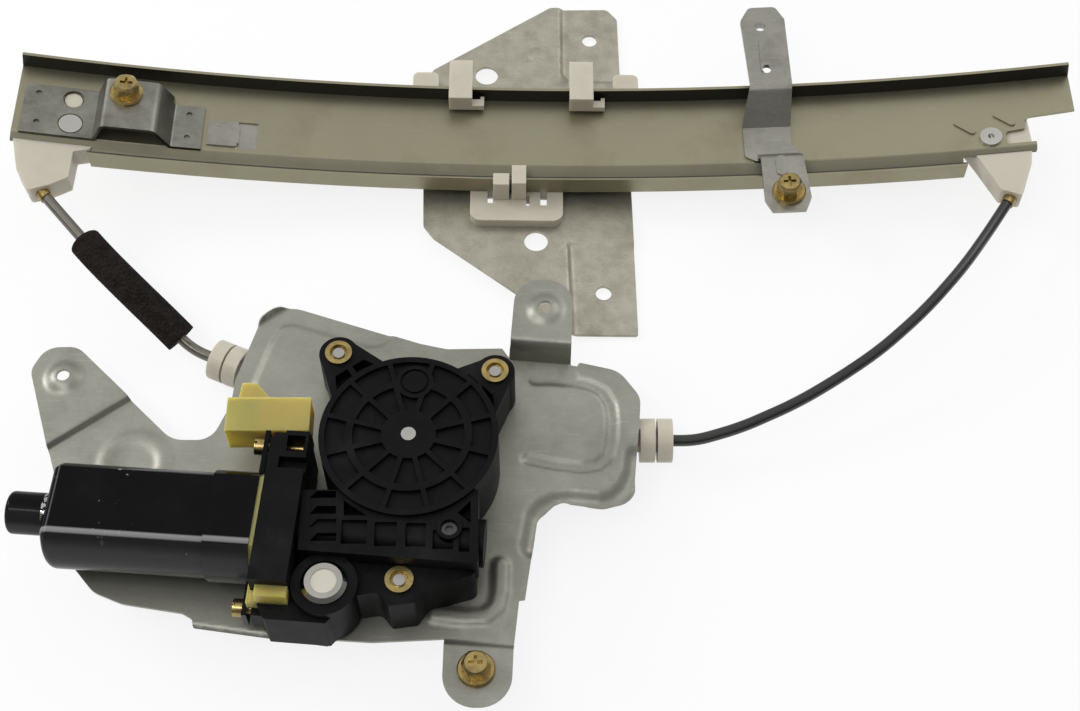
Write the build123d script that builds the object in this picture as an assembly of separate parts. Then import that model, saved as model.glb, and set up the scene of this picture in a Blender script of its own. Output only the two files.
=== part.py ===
from build123d import *
import math
import os

os.makedirs("parts", exist_ok=True)

# Power window regulator of the cable type, lying on its back. Millimetres.
# Origin: centre of the drum housing's back face, on the drum's axis.
# +X runs along the guide rail, +Y from the motor to the rail, +Z away from the door skin.

# Clearances
RUN_GAP = 0.3          # between solids that move past each other
FIT_GAP = 0.05         # radial, a shaft in its bush
HOLE_GAP = 0.25        # radial, a screw or pin in its hole

# Guide rail: a C section bowed about an axis along Y
RAIL_RADIUS = 1330.0   # of the web's front face
RAIL_CROWN_X = 75.0    # where the bow is lowest
RAIL_WEB_Z = 15.4      # the web's front face at the crown
RAIL_LEFT_X = -188.0
RAIL_RIGHT_X = 300.0
RAIL_T = 1.5
RAIL_TOP_Y = 203.7     # inner face of the upper flange
FLANGE_H = 8.0
LIP_Y = 154.3          # outer face of the lower lip
LIP_TIP_H = 4.0
BEAD_H = 5.5           # depth of the bead behind the web's front face
BEAD_START_Y = 166.0
LIP_LEFT_X = -152.5
LIP_RIGHT_X = 248.0
WEB_LOW_LEFT_Y = 162.3
WEB_LOW_RIGHT_Y = 163.5
NOTCH_X = 277.0        # the rail's right end is cut back from here
NOTCH_TOP_Y = 182.0
TONGUE_END_X = 281.0
TONGUE_TOP_Y = 167.5

# Carrier plate, flat, square to the rail at its middle
CARRIER_X = 47.7
CARRIER_DROP = 11.0    # from the web's front face down to the plate's
CARRIER_STEP = 2.0     # the two glass panels lie this much lower
CARRIER_T = 1.6
GLASS_HOLE_R = 3.65
GLASS_UPPER = (77.5, 253.9)
GLASS_LOWER = (81.8, 103.1)
TOOL_HOLE_R = 5.5

# Base plate
PLATE_Z = 22.0         # back face
PLATE_T = 1.4
PLATE_TOP = PLATE_Z + PLATE_T
TAB_RISE = 13.6        # of the upper fixing tab over the plate
ARM_RISE = 3.0         # of the left fixing arm
FOOT_RISE = 2.5        # of the lower fixing tab
M6_HOLE_R = 3.25
ARM_HOLE_R = 2.75
UPPER_HOLE = (54.8, 71.4)
ARM_HOLE = (-150.3, 43.8)
LOWER_HOLE = (27.8, -88.0)

# M6 flange bolts
BOLT_R = 3.0
BOLT_FLAT = 10.0
BOLT_HEAD_H = 6.5
BOLT_WASHER_R = 7.6
BOLT_WASHER_T = 1.6
BOLT_SHANK = 12.0
BOLT_NECK = 1.8        # height of the shoulder under the washer, in the sheet's hole
BOLT_NECK_R = 3.9
BOLT_HOLE_R = BOLT_NECK_R + HOLE_GAP

# Drum and its housing, behind the base plate
DRUM_R = 21.0          # pitch radius of the cable in its groove
CABLE_R = 0.75
HOUSING_FLOOR = 2.0
HOUSING_WALL = 2.2
HOUSING_INNER_R = DRUM_R + 4.0
COVER_T = 1.6

# Gear case, on the base plate
WHEEL_R = 33.0         # tip radius of the worm wheel
WORM_R = 6.5           # over the thread
WORM_OFFSET = WHEEL_R + WORM_R + RUN_GAP
CASE_DISC_R = 36.0
CASE_TOP = 56.0
CASE_WALL = 2.5
EAR_TOP = 46.0
COLLAR_R = 5.6
COLLAR_HOLE_R = 2.4
EARS = ((-31.3, 43.7), (34.0, 34.9), (-1.9, -59.3))
VENT_SPOT = (-30.5, -62.3)

# Motor, its axis turned a little in the plate's plane
MOTOR_TURN = -4.2      # degrees
MOTOR_Z = 43.0
YOKE_R = 21.0
YOKE_FLAT = 15.2       # half the height over the two flats
YOKE_T = 2.0
YOKE_LEN = 82.4
BOSS_R = 8.6
BOSS_LEN = 17.5
SHAFT_R = 3.0

# Conduits
CONDUIT_R = 2.5
BORE_R = 1.2
SLEEVE_R = 7.3
CABLE_DEPTH = 6.5      # of the lift cable behind the web's front face
CABLE_Y = 180.0

RAIL_AXIS = Axis((RAIL_CROWN_X, 0, RAIL_WEB_Z + RAIL_RADIUS), (0, 1, 0))

RAIL_SECTION = [
    (RAIL_TOP_Y, FLANGE_H), (RAIL_TOP_Y, 0.0), (BEAD_START_Y, 0.0), (BEAD_START_Y - 4.5, -BEAD_H * 0.36),
    (LIP_Y + RAIL_T + 2.0, -BEAD_H + RAIL_T), (LIP_Y + RAIL_T, -BEAD_H + RAIL_T), (LIP_Y + RAIL_T, LIP_TIP_H),
    (LIP_Y, LIP_TIP_H), (LIP_Y, -BEAD_H), (LIP_Y + RAIL_T + 2.0, -BEAD_H),
    (BEAD_START_Y - 3.5, -BEAD_H * 0.36 - RAIL_T), (BEAD_START_Y + 1.0, -RAIL_T), (RAIL_TOP_Y + RAIL_T, -RAIL_T),
    (RAIL_TOP_Y + RAIL_T, FLANGE_H),
]

# Left end of the rail: bracket, guide, stud
BRACKET_T = 1.6
BRACKET_RISE = 10.0
BRACKET_LOW_Y = 165.0
BRACKET_HIGH_Y = 193.0
BRACKET_BOLT = (-139.0, 185.0)
BRACKET_WELDS = ((-178.6, 188.2), (-177.6, 171.4), (-110.8, 184.4), (-110.6, 171.0))
PEG_SPOT = (-163.1, 186.5)
PEG_R = 4.0
STUD_SPOT = (-162.8, 172.3)
STUD_R = 5.2

# Window and stop clip beside the bracket
WINDOW = (-88.5, -79.0, 167.6, 183.2)

# Right end of the rail
RIVET_SPOT = (261.2, 171.8)
RIVET_R = 5.0
RIVET_SHANK = 2.6

# Right strap
STRAP_T = 1.6
STRAP_RISE = 14.5
STRAP_HOLE = (158.9, 234.3)
STRAP_HOLE_R = 2.5
STRAP_BOLT = (166.3, 141.0)
STRAP_LOW_RISE = 8.0

GUIDE_DEEP = 10.0      # of the corner guides behind the web
BUSH_R = 3.1
BUSH_LEN = 6.5
LEFT_TURN = 132.25     # degrees that the cable turns in each guide
RIGHT_TURN = 124.15
LEFT_TURN_R = 24.0
RIGHT_TURN_R = 22.5
LEFT_TURN_X = -153.8   # where the turns begin
RIGHT_TURN_X = 248.8
EXIT_RUN = {-1: 0.0, 1: 1.4}    # straight run from the end of each turn to its conduit
TURN_TRIM = 0.98       # leaves a short straight run between the two arcs of a turn
CABLE_SPACE_R = 1.5    # of the groove or bore that the cable runs in

# Cable, conduits and their caps
LEFT_CABLE_Z = 10.2    # of the cable where it meets the drum
RIGHT_CABLE_Z = 12.2
LEFT_LINE = -24.0      # heading of each cable towards the drum, degrees
RIGHT_LINE = 180.0
LEFT_CAP_R = 9.0
RIGHT_CAP_R = 9.4
CAP_GAP = 1.0          # the groove between the cap's two discs
CAP_DISC = 6.4
CAP_NECK_R = 5.0
CAP_SPIGOT = 16.0
ARM_SETBACK = 5.0      # from the cap's discs to the end of the housing's arm
LEFT_CAP_AT = -107.5   # the cap's outer face, along the cable's line
RIGHT_CAP_AT = -108.8

SLEEVE_TRIM = (14.5, 7.0)

# Carrier: plate, sliders, cable anchor. Plan points are x and y at rest, heights are over the web.
PANEL_UPPER = [(62.0, 300.0), (62.0, 230.0), (67.2, 224.7), (130.0, 224.7), (130.0, 300.0)]
PANEL_LOWER = [(64.6, 131.3), (130.0, 131.3), (130.0, 60.0), (67.0, 60.0)]
HOOKS = ((9.4, 20.4), (66.4, 77.6))
FINGERS = ((30.9, 38.3, 156.0, 6.2), (39.5, 46.1, 160.0, 7.2))
SLOTS = ((28.3, 30.8, 147.8, 155.0), (46.3, 47.8, 146.5, 152.2), (52.9, 56.0, 146.8, 154.7))
UPPER_RIVETS = ((5.0, 197.0), (90.0, 197.0))
LOWER_RIVETS = ((26.0, 163.0), (58.0, 163.0))
RIVET_SHANK_R = 2.0

ANCHOR_X = 47.7
ANCHOR = (18.0, 12.0)  # along the rail and across

NIPPLE_R = 2.8
NIPPLE_LEN = 6.0

# Base plate
HUB_HOLE_R = 9.0
ARM = [(-153.2, 11.1), (-165.2, 47.5, 8), (-160.0, 59.0, 9), (-146.5, 59.3, 9), (-120.9, 35.2)]
ARM_FOLD = ((-153.2, 11.1), (-120.9, 35.2))
TAB = [(40.2, 54.0), (42.2, 87.0, 12), (67.0, 87.0, 12), (65.8, 51.8)]
TAB_FOLD = ((40.2, 54.0), (65.8, 51.8))
FOOT = [(14.9, -74.0), (14.5, -103.0, 13), (41.4, -103.0, 13), (42.4, -76.4)]
FOOT_FOLD = ((42.4, -76.4), (14.9, -74.0))
RIBS = [
    [(37.0, -42.5), (36.9, -54.0), (35.6, -60.6), (31.0, -64.6), (23.2, -65.2), (11.2, -63.7)],
]
GROOVE = [
    (50.6, 44.8), (57.7, 44.9), (67.1, 43.9), (74.0, 42.2), (79.5, 38.9), (82.7, 32.5), (83.4, 24.8),
    (82.8, 15.1), (81.0, 7.5), (76.7, 3.3), (70.1, 2.3), (59.3, 3.7), (47.6, 6.3)]
RIB_H = 1.4
DOME_SPOT = (-116.3, 4.0)
DOME_R = 12.2          # of the ring-shaped rib's middle
GROOVE_H = 0.9

# Drum housing and drum
ARM_HALF_W = 8.0
DRUM_LOW = COVER_T + RUN_GAP
DRUM_HIGH = PLATE_Z - HOUSING_FLOOR - RUN_GAP
FLANGE_T = 1.8
HUB_R = 7.0
PIN_R = 3.0

LEFT_ARM_END = LEFT_CAP_AT + 2 * CAP_DISC + CAP_GAP + ARM_SETBACK
RIGHT_ARM_END = RIGHT_CAP_AT + 2 * CAP_DISC + CAP_GAP + ARM_SETBACK

# Gear case, wheel and hub
CASE_COVER_T = 1.6
CASE_LOW = PLATE_TOP + CASE_COVER_T
CASE_INNER_R = WHEEL_R + 0.5
WHEEL_LOW = 38.0
WHEEL_HIGH = 48.0
WHEEL_TEETH = 66
TOOTH_H = 2.2
RIM_INNER_R = 21.0
HUB_FLANGE_R = 12.0
TUNNEL_WALL = 3.0
TUNNEL_FROM = -54.0    # along the motor's axis; the wheel's axis crosses it at 0
TUNNEL_TO = 34.0
BLOCK = (TUNNEL_FROM, -39.0, -28.5, 33.1, -17.6, 15.4)
BLOCK_POCKETS = ((-47.3, -40.2, 27.5, 34.5, 4.0), (-49.5, -37.0, 19.8, 24.8, 11.0))
LATTICE_TOP = 54.0
CHAMBER_R = 12.0
BOSS_TOP = 50.0
SCREW_SPOT = (17.3, -40.8)
SCREW_BOSS_R = 5.0
SCREW_BOSS_TOP = 55.0
LID_POCKET = 1.8       # depth of the disc's pockets
LID_BOSS = (1.7, 24.3)
LATTICE = [(-41.0, -24.0), (28.4, -24.0), (28.8, -55.7, 1), (-41.0, -49.9)]
LATTICE_FLOOR = 48.5
LATTICE_POCKETS = (
    (-24.6, -14.7, -47.4, -37.2), (-11.7, -3.1, -48.4, -38.1), (0.4, 8.2, -48.6, -38.5), (11.0, 19.0, -49.7, -41.6),
    (21.2, 25.3, -50.8, -40.5))
FIN_GAPS = ((-38.0, -24.5, -27.6), (-37.6, -31.1, -34.6), (-37.2, -36.8, -40.2), (-36.8, -42.8, -46.2))
FIN_GAP_LEN = 10.4

# Fasteners and small parts of the case
SCREW_R = 2.0
SCREW_LEN = 12.0
YOKE_SCREWS = ((34.0, 5.0), (-31.2, -7.0))
VENT_R = 9.0
VENT_PLUG_R = 5.1

# Motor, in its own frame
CARD_T = 1.6
YOKE_MOUTH = TUNNEL_FROM - CARD_T
YOKE_REAR = YOKE_MOUTH - YOKE_LEN
EAR_FACE = YOKE_MOUTH - YOKE_T
MOUTH_LEN = 18.0
MOUTH_GROW = 1.2
CORE_R = 12.4
MAGNET_R = 13.2        # inner face of the magnets
COMM_R = 6.5
COMM_X = (-84.0, -70.0)
CORE_X = (YOKE_REAR + 10.8, YOKE_REAR + 46.0)

# Connector, with its mouth towards the motor's rear
CONN_T = 1.5
MOUTH_BOX = (-74.5, -60.0, 3.8, 19.2, 37.5, 52.0)

TERMINAL_YS = (11.2, 15.0)


def outline(points):
    """A face in the XY plane from (x, y) or (x, y, corner radius) points."""
    radii = [p[2] if len(p) > 2 else 0.0 for p in points]
    return make_face(FilletPolyline(*[(p[0], p[1]) for p in points], radius=radii, close=True))


def prism(points, low, high):
    """The outline raised from low to high along Z."""
    return Pos(0, 0, low) * extrude(outline(points), amount=high - low)


def box(x0, x1, y0, y1, z0, z1):
    return Pos((x0 + x1) / 2, (y0 + y1) / 2, (z0 + z1) / 2) * Box(x1 - x0, y1 - y0, z1 - z0)


def rod(x, y, z0, z1, radius):
    """An upright cylinder."""
    return Pos(x, y, (z0 + z1) / 2) * Cylinder(radius, z1 - z0)


def slab(x0, x1, y0, y1, z0, z1, radius):
    """A box with rounded upright corners."""
    corners = [(x0, y0, radius), (x1, y0, radius), (x1, y1, radius), (x0, y1, radius)]
    return prism(corners, z0, z1)


def whole(shape):
    """The single solid in a result, so that a node holds one clean solid."""
    solids = shape.solids()
    return solids[0] if len(solids) == 1 else Compound(children=list(solids))


# Places on the rail


def rail_angle(x):
    """Degrees round the bow from the crown to x."""
    return math.degrees(math.asin((x - RAIL_CROWN_X) / RAIL_RADIUS))


def on_rail(x, y=0.0, height=0.0):
    """A place over the web's front face, its Z square to the web and its Y along the row's."""
    turn = math.radians(rail_angle(x))
    foot_x = RAIL_CROWN_X + RAIL_RADIUS * math.sin(turn)
    foot_z = RAIL_WEB_Z + RAIL_RADIUS * (1 - math.cos(turn))
    return Pos(foot_x, y, foot_z) * Rot(0, -math.degrees(turn), 0) * Pos(0, 0, height)


def bowed(points, x_from, x_to, grow=0.0):
    """A section of (y, height over the web) points swept round the bow."""
    corners = [(RAIL_CROWN_X, y, RAIL_WEB_Z + h) for y, h in points]
    section = make_face(Polyline(*corners, close=True))
    if grow:
        section = offset(section, amount=grow, kind=Kind.INTERSECTION)
    start, end = rail_angle(x_from), rail_angle(x_to)
    # a positive turn about +Y carries the low side of the bow to -X
    return revolve(section, RAIL_AXIS, end - start).rotate(RAIL_AXIS, -end)


def guide_rail():
    rail = bowed(RAIL_SECTION, RAIL_LEFT_X, RAIL_RIGHT_X)
    low_left = box(RAIL_LEFT_X - 20, LIP_LEFT_X, LIP_Y - 10, WEB_LOW_LEFT_Y, 0, 80)
    low_right = box(LIP_RIGHT_X, RAIL_RIGHT_X + 20, LIP_Y - 10, WEB_LOW_RIGHT_Y, 0, 80)
    notch = prism([
        (NOTCH_X - 9, TONGUE_TOP_Y), (TONGUE_END_X, TONGUE_TOP_Y), (TONGUE_END_X, 160), (RAIL_RIGHT_X + 20, 160),
        (RAIL_RIGHT_X + 20, NOTCH_TOP_Y + 2.5), (NOTCH_X, NOTCH_TOP_Y, 4.0), (NOTCH_X, 175.5, 1.0),
        (NOTCH_X - 9, 174.5, 2.0)], 0, 80)
    rail = rail - low_left - low_right - notch
    rail -= box(WINDOW[0], WINDOW[1], WINDOW[2], WINDOW[3], 0, 80)
    rail -= on_rail(PEG_SPOT[0], PEG_SPOT[1]) * Cylinder(PEG_R + 0.4, 8)
    rail -= on_rail(STUD_SPOT[0], STUD_SPOT[1]) * Cylinder(STUD_R - 1.5 + HOLE_GAP, 8)
    rail -= on_rail(RIVET_SPOT[0], RIVET_SPOT[1]) * Cylinder(RIVET_SHANK + HOLE_GAP, 8)
    # two pressed stiffening darts beside the rivet
    for x, y in ((250.2, 178.8), (268.3, 181.8)):
        dart = extrude(SlotOverall(11.5, 3.2), amount=1.4)
        rail += on_rail(x, y, -0.6) * Rot(0, 0, -41) * dart
    return whole(rail)


def seated(piece):
    """The piece with the rail's own material cut away, so that it lies face to face on the web."""
    return whole(piece - bowed(RAIL_SECTION, RAIL_LEFT_X - 10, RAIL_RIGHT_X + 10))


def sheet_profile(points, thickness):
    """A bent strip's side view: a line of (along, height) points given its thickness upwards."""
    line = FilletPolyline(*[(p[0], p[1]) for p in points], radius=[p[2] for p in points[1:-1]])
    return trace_strip(line, thickness)


def trace_strip(line, thickness):
    """The face between a line in XY and its copy set off to its left."""
    side = offset(line, amount=thickness, side=Side.LEFT, closed=True)
    return make_face(side)


def rail_left_bracket():
    """A hat-shaped bracket welded to the web, with the raised seat of a fixing bolt."""
    foot, lift = -0.3, BRACKET_RISE
    line = []
    for x, height, radius in (
            (-185.5, foot, 0), (-151.5, foot, 1.5), (-147.5, lift, 2.0), (-125.5, lift, 2.5), (-118.0, foot, 3.0),
            (-103.6, foot, 0)):
        along = x - BRACKET_BOLT[0]
        # the web curves up away from the seat's own plane, so each foot follows it
        sag = along ** 2 / (2 * RAIL_RADIUS) if height == foot else 0.0
        line.append((along, height + sag, radius))
    strip = Rot(90, 0, 0) * extrude(sheet_profile(line, BRACKET_T), amount=BRACKET_HIGH_Y - BRACKET_LOW_Y)
    strip = on_rail(BRACKET_BOLT[0], BRACKET_HIGH_Y) * strip
    for spot, radius in ((PEG_SPOT, PEG_R + 0.8), (STUD_SPOT, STUD_R + 0.5)):
        strip -= on_rail(*spot) * Cylinder(radius, 12)
    strip -= on_rail(*BRACKET_BOLT, BRACKET_RISE) * Cylinder(BOLT_HOLE_R, 8)
    for x, y in BRACKET_WELDS:
        strip -= on_rail(x, y, BRACKET_T - 0.3) * Cylinder(1.4, 1.6)
    corner = box(-118.0, -100, BRACKET_HIGH_Y - 3.5, BRACKET_HIGH_Y + 5, 0, 80)
    return seated(strip - corner)


def rail_stop_clip():
    """A spring clip pressed into the rail's window, flush with the web's back."""
    leaf = on_rail(-92.4, 175.4) * box(-9.3, 4.5, -6.9, 7.2, -0.2, 0.8)
    tongue = on_rail(-87.2, 175.4) * box(-0.8, 0.0, -5.0, 5.0, -1.4, 0.8)
    tail = on_rail(-92.4, 175.4) * box(4.4, 14.0, -8.6, 8.6, -1.4, -0.6)
    body = leaf + tongue + tail
    return whole(body - guide_rail())


def rail_strap_upper():
    """The strap's upper half: spot welded to the web, rising over the upper flange to a threaded eye."""
    top_y, bend_y, low_y = 247.0, 198.5, 165.5
    line = [(low_y, -0.3), (185.5, -0.3, 2.0), (bend_y, STRAP_RISE, 3.0), (top_y, STRAP_RISE)]
    line = [(p[0], p[1], p[2] if len(p) > 2 else 0) for p in line]
    side = sheet_profile(line, STRAP_T)
    # the side view lies in the YZ plane, and the strip is then cut to its plan outline
    strip = on_rail(STRAP_HOLE[0]) * (Rot(0, 0, 90) * Rot(90, 0, 0) * Pos(0, 0, -25) * extrude(side, amount=50))
    plan = prism([
        (148.2, 168.5, 2), (154.5, 164.5, 2), (170.0, 166.0, 2), (170.4, 199.5, 4), (169.6, 238.5, 3), (165.5, 246.6, 3),
        (152.8, 246.6, 3), (148.6, 238.5, 3), (151.0, 199.0, 4), (148.0, 187.0, 3)], 0, 80)
    strip &= plan
    strip -= on_rail(STRAP_HOLE[0], STRAP_HOLE[1], STRAP_RISE) * Cylinder(STRAP_HOLE_R, 12)
    collar = on_rail(STRAP_HOLE[0], STRAP_HOLE[1], STRAP_RISE - 0.4)
    strip += collar * (Cylinder(STRAP_HOLE_R + 1.1, 3.6) - Cylinder(STRAP_HOLE_R, 5))
    strip -= on_rail(160.2, 208.0, STRAP_RISE) * Cylinder(2.2, 12)
    rib = extrude(SlotOverall(22.0, 5.0), amount=1.2)
    strip += on_rail(160.0, 217.0, STRAP_RISE + STRAP_T - 0.6) * Rot(0, 0, 90) * rib - (
        on_rail(160.2, 208.0, STRAP_RISE) * Cylinder(2.2, 12))
    return seated(strip)


def rail_strap_lower():
    """The strap's lower half: welded to the web, stepping over the bead and the lip to its bolt."""
    line = [(173.5, -0.3), (168.5, -0.3, 2.0), (161.5, STRAP_LOW_RISE, 3.0), (129.8, STRAP_LOW_RISE)]
    line = [(-p[0], p[1], p[2] if len(p) > 2 else 0) for p in line]
    side = sheet_profile(line, STRAP_T)
    strip = on_rail(STRAP_BOLT[0]) * (Rot(0, 0, -90) * Rot(90, 0, 0) * Pos(0, 0, -25) * extrude(side, amount=50))
    plan = prism([
        (154.0, 173.4, 2), (172.6, 173.4, 2), (175.6, 137.5, 1.5), (172.8, 130.4, 1), (157.8, 130.4, 1),
        (154.6, 137.0, 1.5)], 0, 80)
    strip &= plan
    strip -= on_rail(STRAP_BOLT[0], STRAP_BOLT[1], STRAP_LOW_RISE) * Cylinder(BOLT_HOLE_R, 8)
    rib = extrude(SlotOverall(11.0, 5.0), amount=1.2)
    strip += on_rail(163.9, 156.0, STRAP_LOW_RISE + STRAP_T - 0.6) * Rot(0, 0, 90) * rib
    strip -= rail_strap_upper()
    return seated(strip)


def flange_bolt(shank):
    """A hexagon bolt with its own washer, head up, its seat at Z = 0."""
    washer = Cylinder(BOLT_WASHER_R, BOLT_WASHER_T, align=(Align.CENTER, Align.CENTER, Align.MIN))
    washer = chamfer(washer.edges().group_by(Axis.Z)[-1], 0.6)
    head = extrude(RegularPolygon(BOLT_FLAT / 2, 6, major_radius=False), amount=BOLT_WASHER_T + BOLT_HEAD_H)
    cone = Cone(BOLT_FLAT / 2 + 5.4, BOLT_FLAT / 2 - 0.6, 6.0, align=(Align.CENTER, Align.CENTER, Align.MAX))
    foot = Cylinder(20, 3.0, align=(Align.CENTER, Align.CENTER, Align.MIN))
    head &= Pos(0, 0, BOLT_WASHER_T + BOLT_HEAD_H) * cone + foot
    stem = Cylinder(BOLT_R, shank, align=(Align.CENTER, Align.CENTER, Align.MAX))
    stem += Cylinder(BOLT_NECK_R, BOLT_NECK, align=(Align.CENTER, Align.CENTER, Align.MAX))
    recess = Pos(0, 0, BOLT_WASHER_T + BOLT_HEAD_H) * (Box(5.6, 1.3, 3.6) + Box(1.3, 5.6, 3.6))
    return whole(washer + head + stem - recess)


def mounting_bolts():
    places = [
        on_rail(*BRACKET_BOLT, BRACKET_RISE + BRACKET_T),
        on_rail(*STRAP_BOLT, STRAP_LOW_RISE + STRAP_T),
        Pos(LOWER_HOLE[0], LOWER_HOLE[1], PLATE_TOP + FOOT_RISE),
    ]
    shanks = [BRACKET_RISE - 0.6, BOLT_SHANK, BOLT_SHANK]
    return Compound(children=[place * flange_bolt(shank) for place, shank in zip(places, shanks)])


def guide_corners(side):
    """The corners of the cable's way out of the rail: before the turn, two in it, and one beyond."""
    left, right = (LEFT_TURN, LEFT_TURN_R, LEFT_TURN_X), (RIGHT_TURN, RIGHT_TURN_R, RIGHT_TURN_X)
    turn, radius, x = left if side < 0 else right
    place = on_rail(x, CABLE_Y, -CABLE_DEPTH)
    reach = radius * math.tan(math.radians(turn / 4))
    half, full = math.radians(turn / 2), math.radians(turn)
    near = (side * (reach + 1.5), 0.0)
    far = (near[0] + side * 2 * reach * math.cos(half), -2 * reach * math.sin(half))
    out = (side * math.cos(full), -math.sin(full))
    run = reach + EXIT_RUN[side]
    exit_at = (far[0] + run * out[0], far[1] + run * out[1])
    beyond = (exit_at[0] + 22.0 * out[0], exit_at[1] + 22.0 * out[1])
    points = [(place * Pos(p[0], p[1], 0)).position for p in (near, far, exit_at, beyond)]
    return place, [tuple(p) for p in points]


def guide_passages(side):
    """What is bored out of a corner guide: the cable's groove and the socket of the conduit's bush."""
    place, (near, far, exit_at, beyond) = guide_corners(side)
    start = tuple((place * Pos(-side * 30.0, 0, 0)).position)
    radius = LEFT_TURN_R if side < 0 else RIGHT_TURN_R
    wire = FilletPolyline(start, near, far, beyond, radius=[TURN_TRIM * radius] * 2)
    groove = sweep(Plane(wire @ 0, z_dir=wire % 0) * Circle(CABLE_SPACE_R), path=wire)
    socket = bush_place(side) * Cylinder(BUSH_R, 3 * BUSH_LEN, align=(Align.CENTER, Align.CENTER, Align.MIN))
    return groove + socket


def bush_place(side):
    _, (_, _, exit_at, beyond) = guide_corners(side)
    return Plane(exit_at, z_dir=Vector(*beyond) - Vector(*exit_at))


def rail_web(x_from, x_to, low_y, high_y, low, high):
    """A band that follows the web, between two heights over its front face."""
    return bowed([(low_y, low), (high_y, low), (high_y, high), (low_y, high)], x_from, x_to)


def left_cable_guide():
    """The moulded corner that turns the cable out of the rail; a peg keys it into the web."""
    plan = [
        (-186.8, 194.0, 3), (-187.8, 166.0, 4), (-183.0, 145.4, 3), (-176.8, 134.8, 1.5), (-168.1, 139.0, 1.5),
        (-160.6, 144.2, 1.5), (-160.2, 159.0, 1), (-152.8, 161.2, 1), (-152.8, 194.0, 3)]
    block = rail_web(-190, -150, 125, 198, -RAIL_T - GUIDE_DEEP, -RAIL_T) & prism(plan, 0, 80)
    block += on_rail(*PEG_SPOT) * rod(0, 0, -4.0, 0.4, PEG_R)
    block -= on_rail(*STUD_SPOT) * Cylinder(STUD_R - 1.5, 60)
    return whole(block - guide_rail() - guide_passages(-1))


def right_cable_guide():
    """The right-hand corner, held by a tubular rivet."""
    plan = [
        (249.5, 188.0, 3), (250.0, 172.0, 4), (254.6, 162.3, 5), (262.7, 143.0, 1.5), (271.4, 139.0, 1.5),
        (277.6, 156.0, 6), (279.4, 168.0, 3), (278.5, 188.0, 3)]
    block = rail_web(244, 282, 125, 195, -RAIL_T - GUIDE_DEEP, -RAIL_T) & prism(plan, 0, 80)
    block -= on_rail(*RIVET_SPOT) * Cylinder(RIVET_SHANK, 60)
    return whole(block - guide_rail() - guide_passages(1))


def guide_rivets():
    """The dome stud of the left guide and the tubular rivet of the right one, headed on both faces."""
    depth = RAIL_T + GUIDE_DEEP
    stud = rod(0, 0, -depth, 0.5, STUD_R - 1.5) + rod(0, 0, 0.0, 1.4, STUD_R)
    stud += rod(0, 0, -depth - 1.0, -depth, STUD_R)
    rivet = rod(0, 0, -depth, 0.5, RIVET_SHANK) + rod(0, 0, 0.0, 1.2, RIVET_R)
    rivet += rod(0, 0, -depth - 1.0, -depth, RIVET_R)
    rivet -= rod(0, 0, -1.0, 3.0, 1.4)
    rail = guide_rail()
    return Compound(children=[
        whole(on_rail(*STUD_SPOT) * stud - rail), whole(on_rail(*RIVET_SPOT) * rivet - rail - right_cable_guide())])


def drum_line(heading, along, z):
    """A point on the line that touches the drum's +Y side, measured from the touching point."""
    turn = math.radians(heading)
    side = 1.0 if math.cos(turn) > 0 else -1.0
    x = -side * DRUM_R * math.sin(turn) + along * math.cos(turn)
    y = side * DRUM_R * math.cos(turn) + along * math.sin(turn)
    return (x, y, z)


def line_plane(heading, along, z):
    """A plane square to that line, facing the drum."""
    turn = math.radians(heading)
    return Plane(drum_line(heading, along, z), z_dir=(math.cos(turn), math.sin(turn), 0))


def left_conduit_route():
    _, (_, _, exit_at, beyond) = guide_corners(-1)
    return [
        exit_at, beyond, (-143.5, 105.6, 27.6), (-127.5, 90.4, 23.6), (-112.5, 77.6, 17.2),
        drum_line(LEFT_LINE, -119.5, LEFT_CABLE_Z), drum_line(LEFT_LINE, LEFT_CAP_AT + 3.0, LEFT_CABLE_Z)]


def right_conduit_route():
    _, (_, _, exit_at, beyond) = guide_corners(1)
    return [
        exit_at, beyond, (240.6, 101.6, 25.6), (220.6, 78.6, 24.6), (199.8, 59.8, 22.8), (181.6, 47.4, 20.4),
        (162.6, 36.4, 17.6), (138.0, 25.6, 15.0), drum_line(RIGHT_LINE, -119.0, RIGHT_CABLE_Z),
        drum_line(RIGHT_LINE, RIGHT_CAP_AT + 3.0, RIGHT_CABLE_Z)]


def corner_radii(points):
    """For each corner of a route, 0.45 of its shorter run over the tangent of half its turn."""
    radii = []
    for before, at, after in zip(points, points[1:], points[2:]):
        run_in, run_out = Vector(*at) - Vector(*before), Vector(*after) - Vector(*at)
        half_turn = math.radians(run_in.get_angle(run_out)) / 2
        radii.append(0.45 * min(run_in.length, run_out.length) / math.tan(half_turn))
    return radii


def tube(points, radii, outer, inner=0.0):
    """A round tube along a route of straight runs and tangent arcs."""
    wire = FilletPolyline(*points, radius=radii)
    start = Plane(wire @ 0, z_dir=wire % 0)
    body = sweep(start * Circle(outer), path=wire)
    if inner:
        body -= sweep(start * Circle(inner), path=wire)
    print("tube", round(wire.length, 1), "long, volume over section times length",
          round(body.volume / (math.pi * (outer ** 2 - inner ** 2) * wire.length), 4))
    return whole(body)


def conduit(route):
    radii = corner_radii(route)
    print("conduit radii", [round(r, 1) for r in radii])
    return tube(route, radii, CONDUIT_R, BORE_R)


def left_conduit():
    return conduit(left_conduit_route())


def right_conduit():
    return conduit(right_conduit_route())


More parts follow.
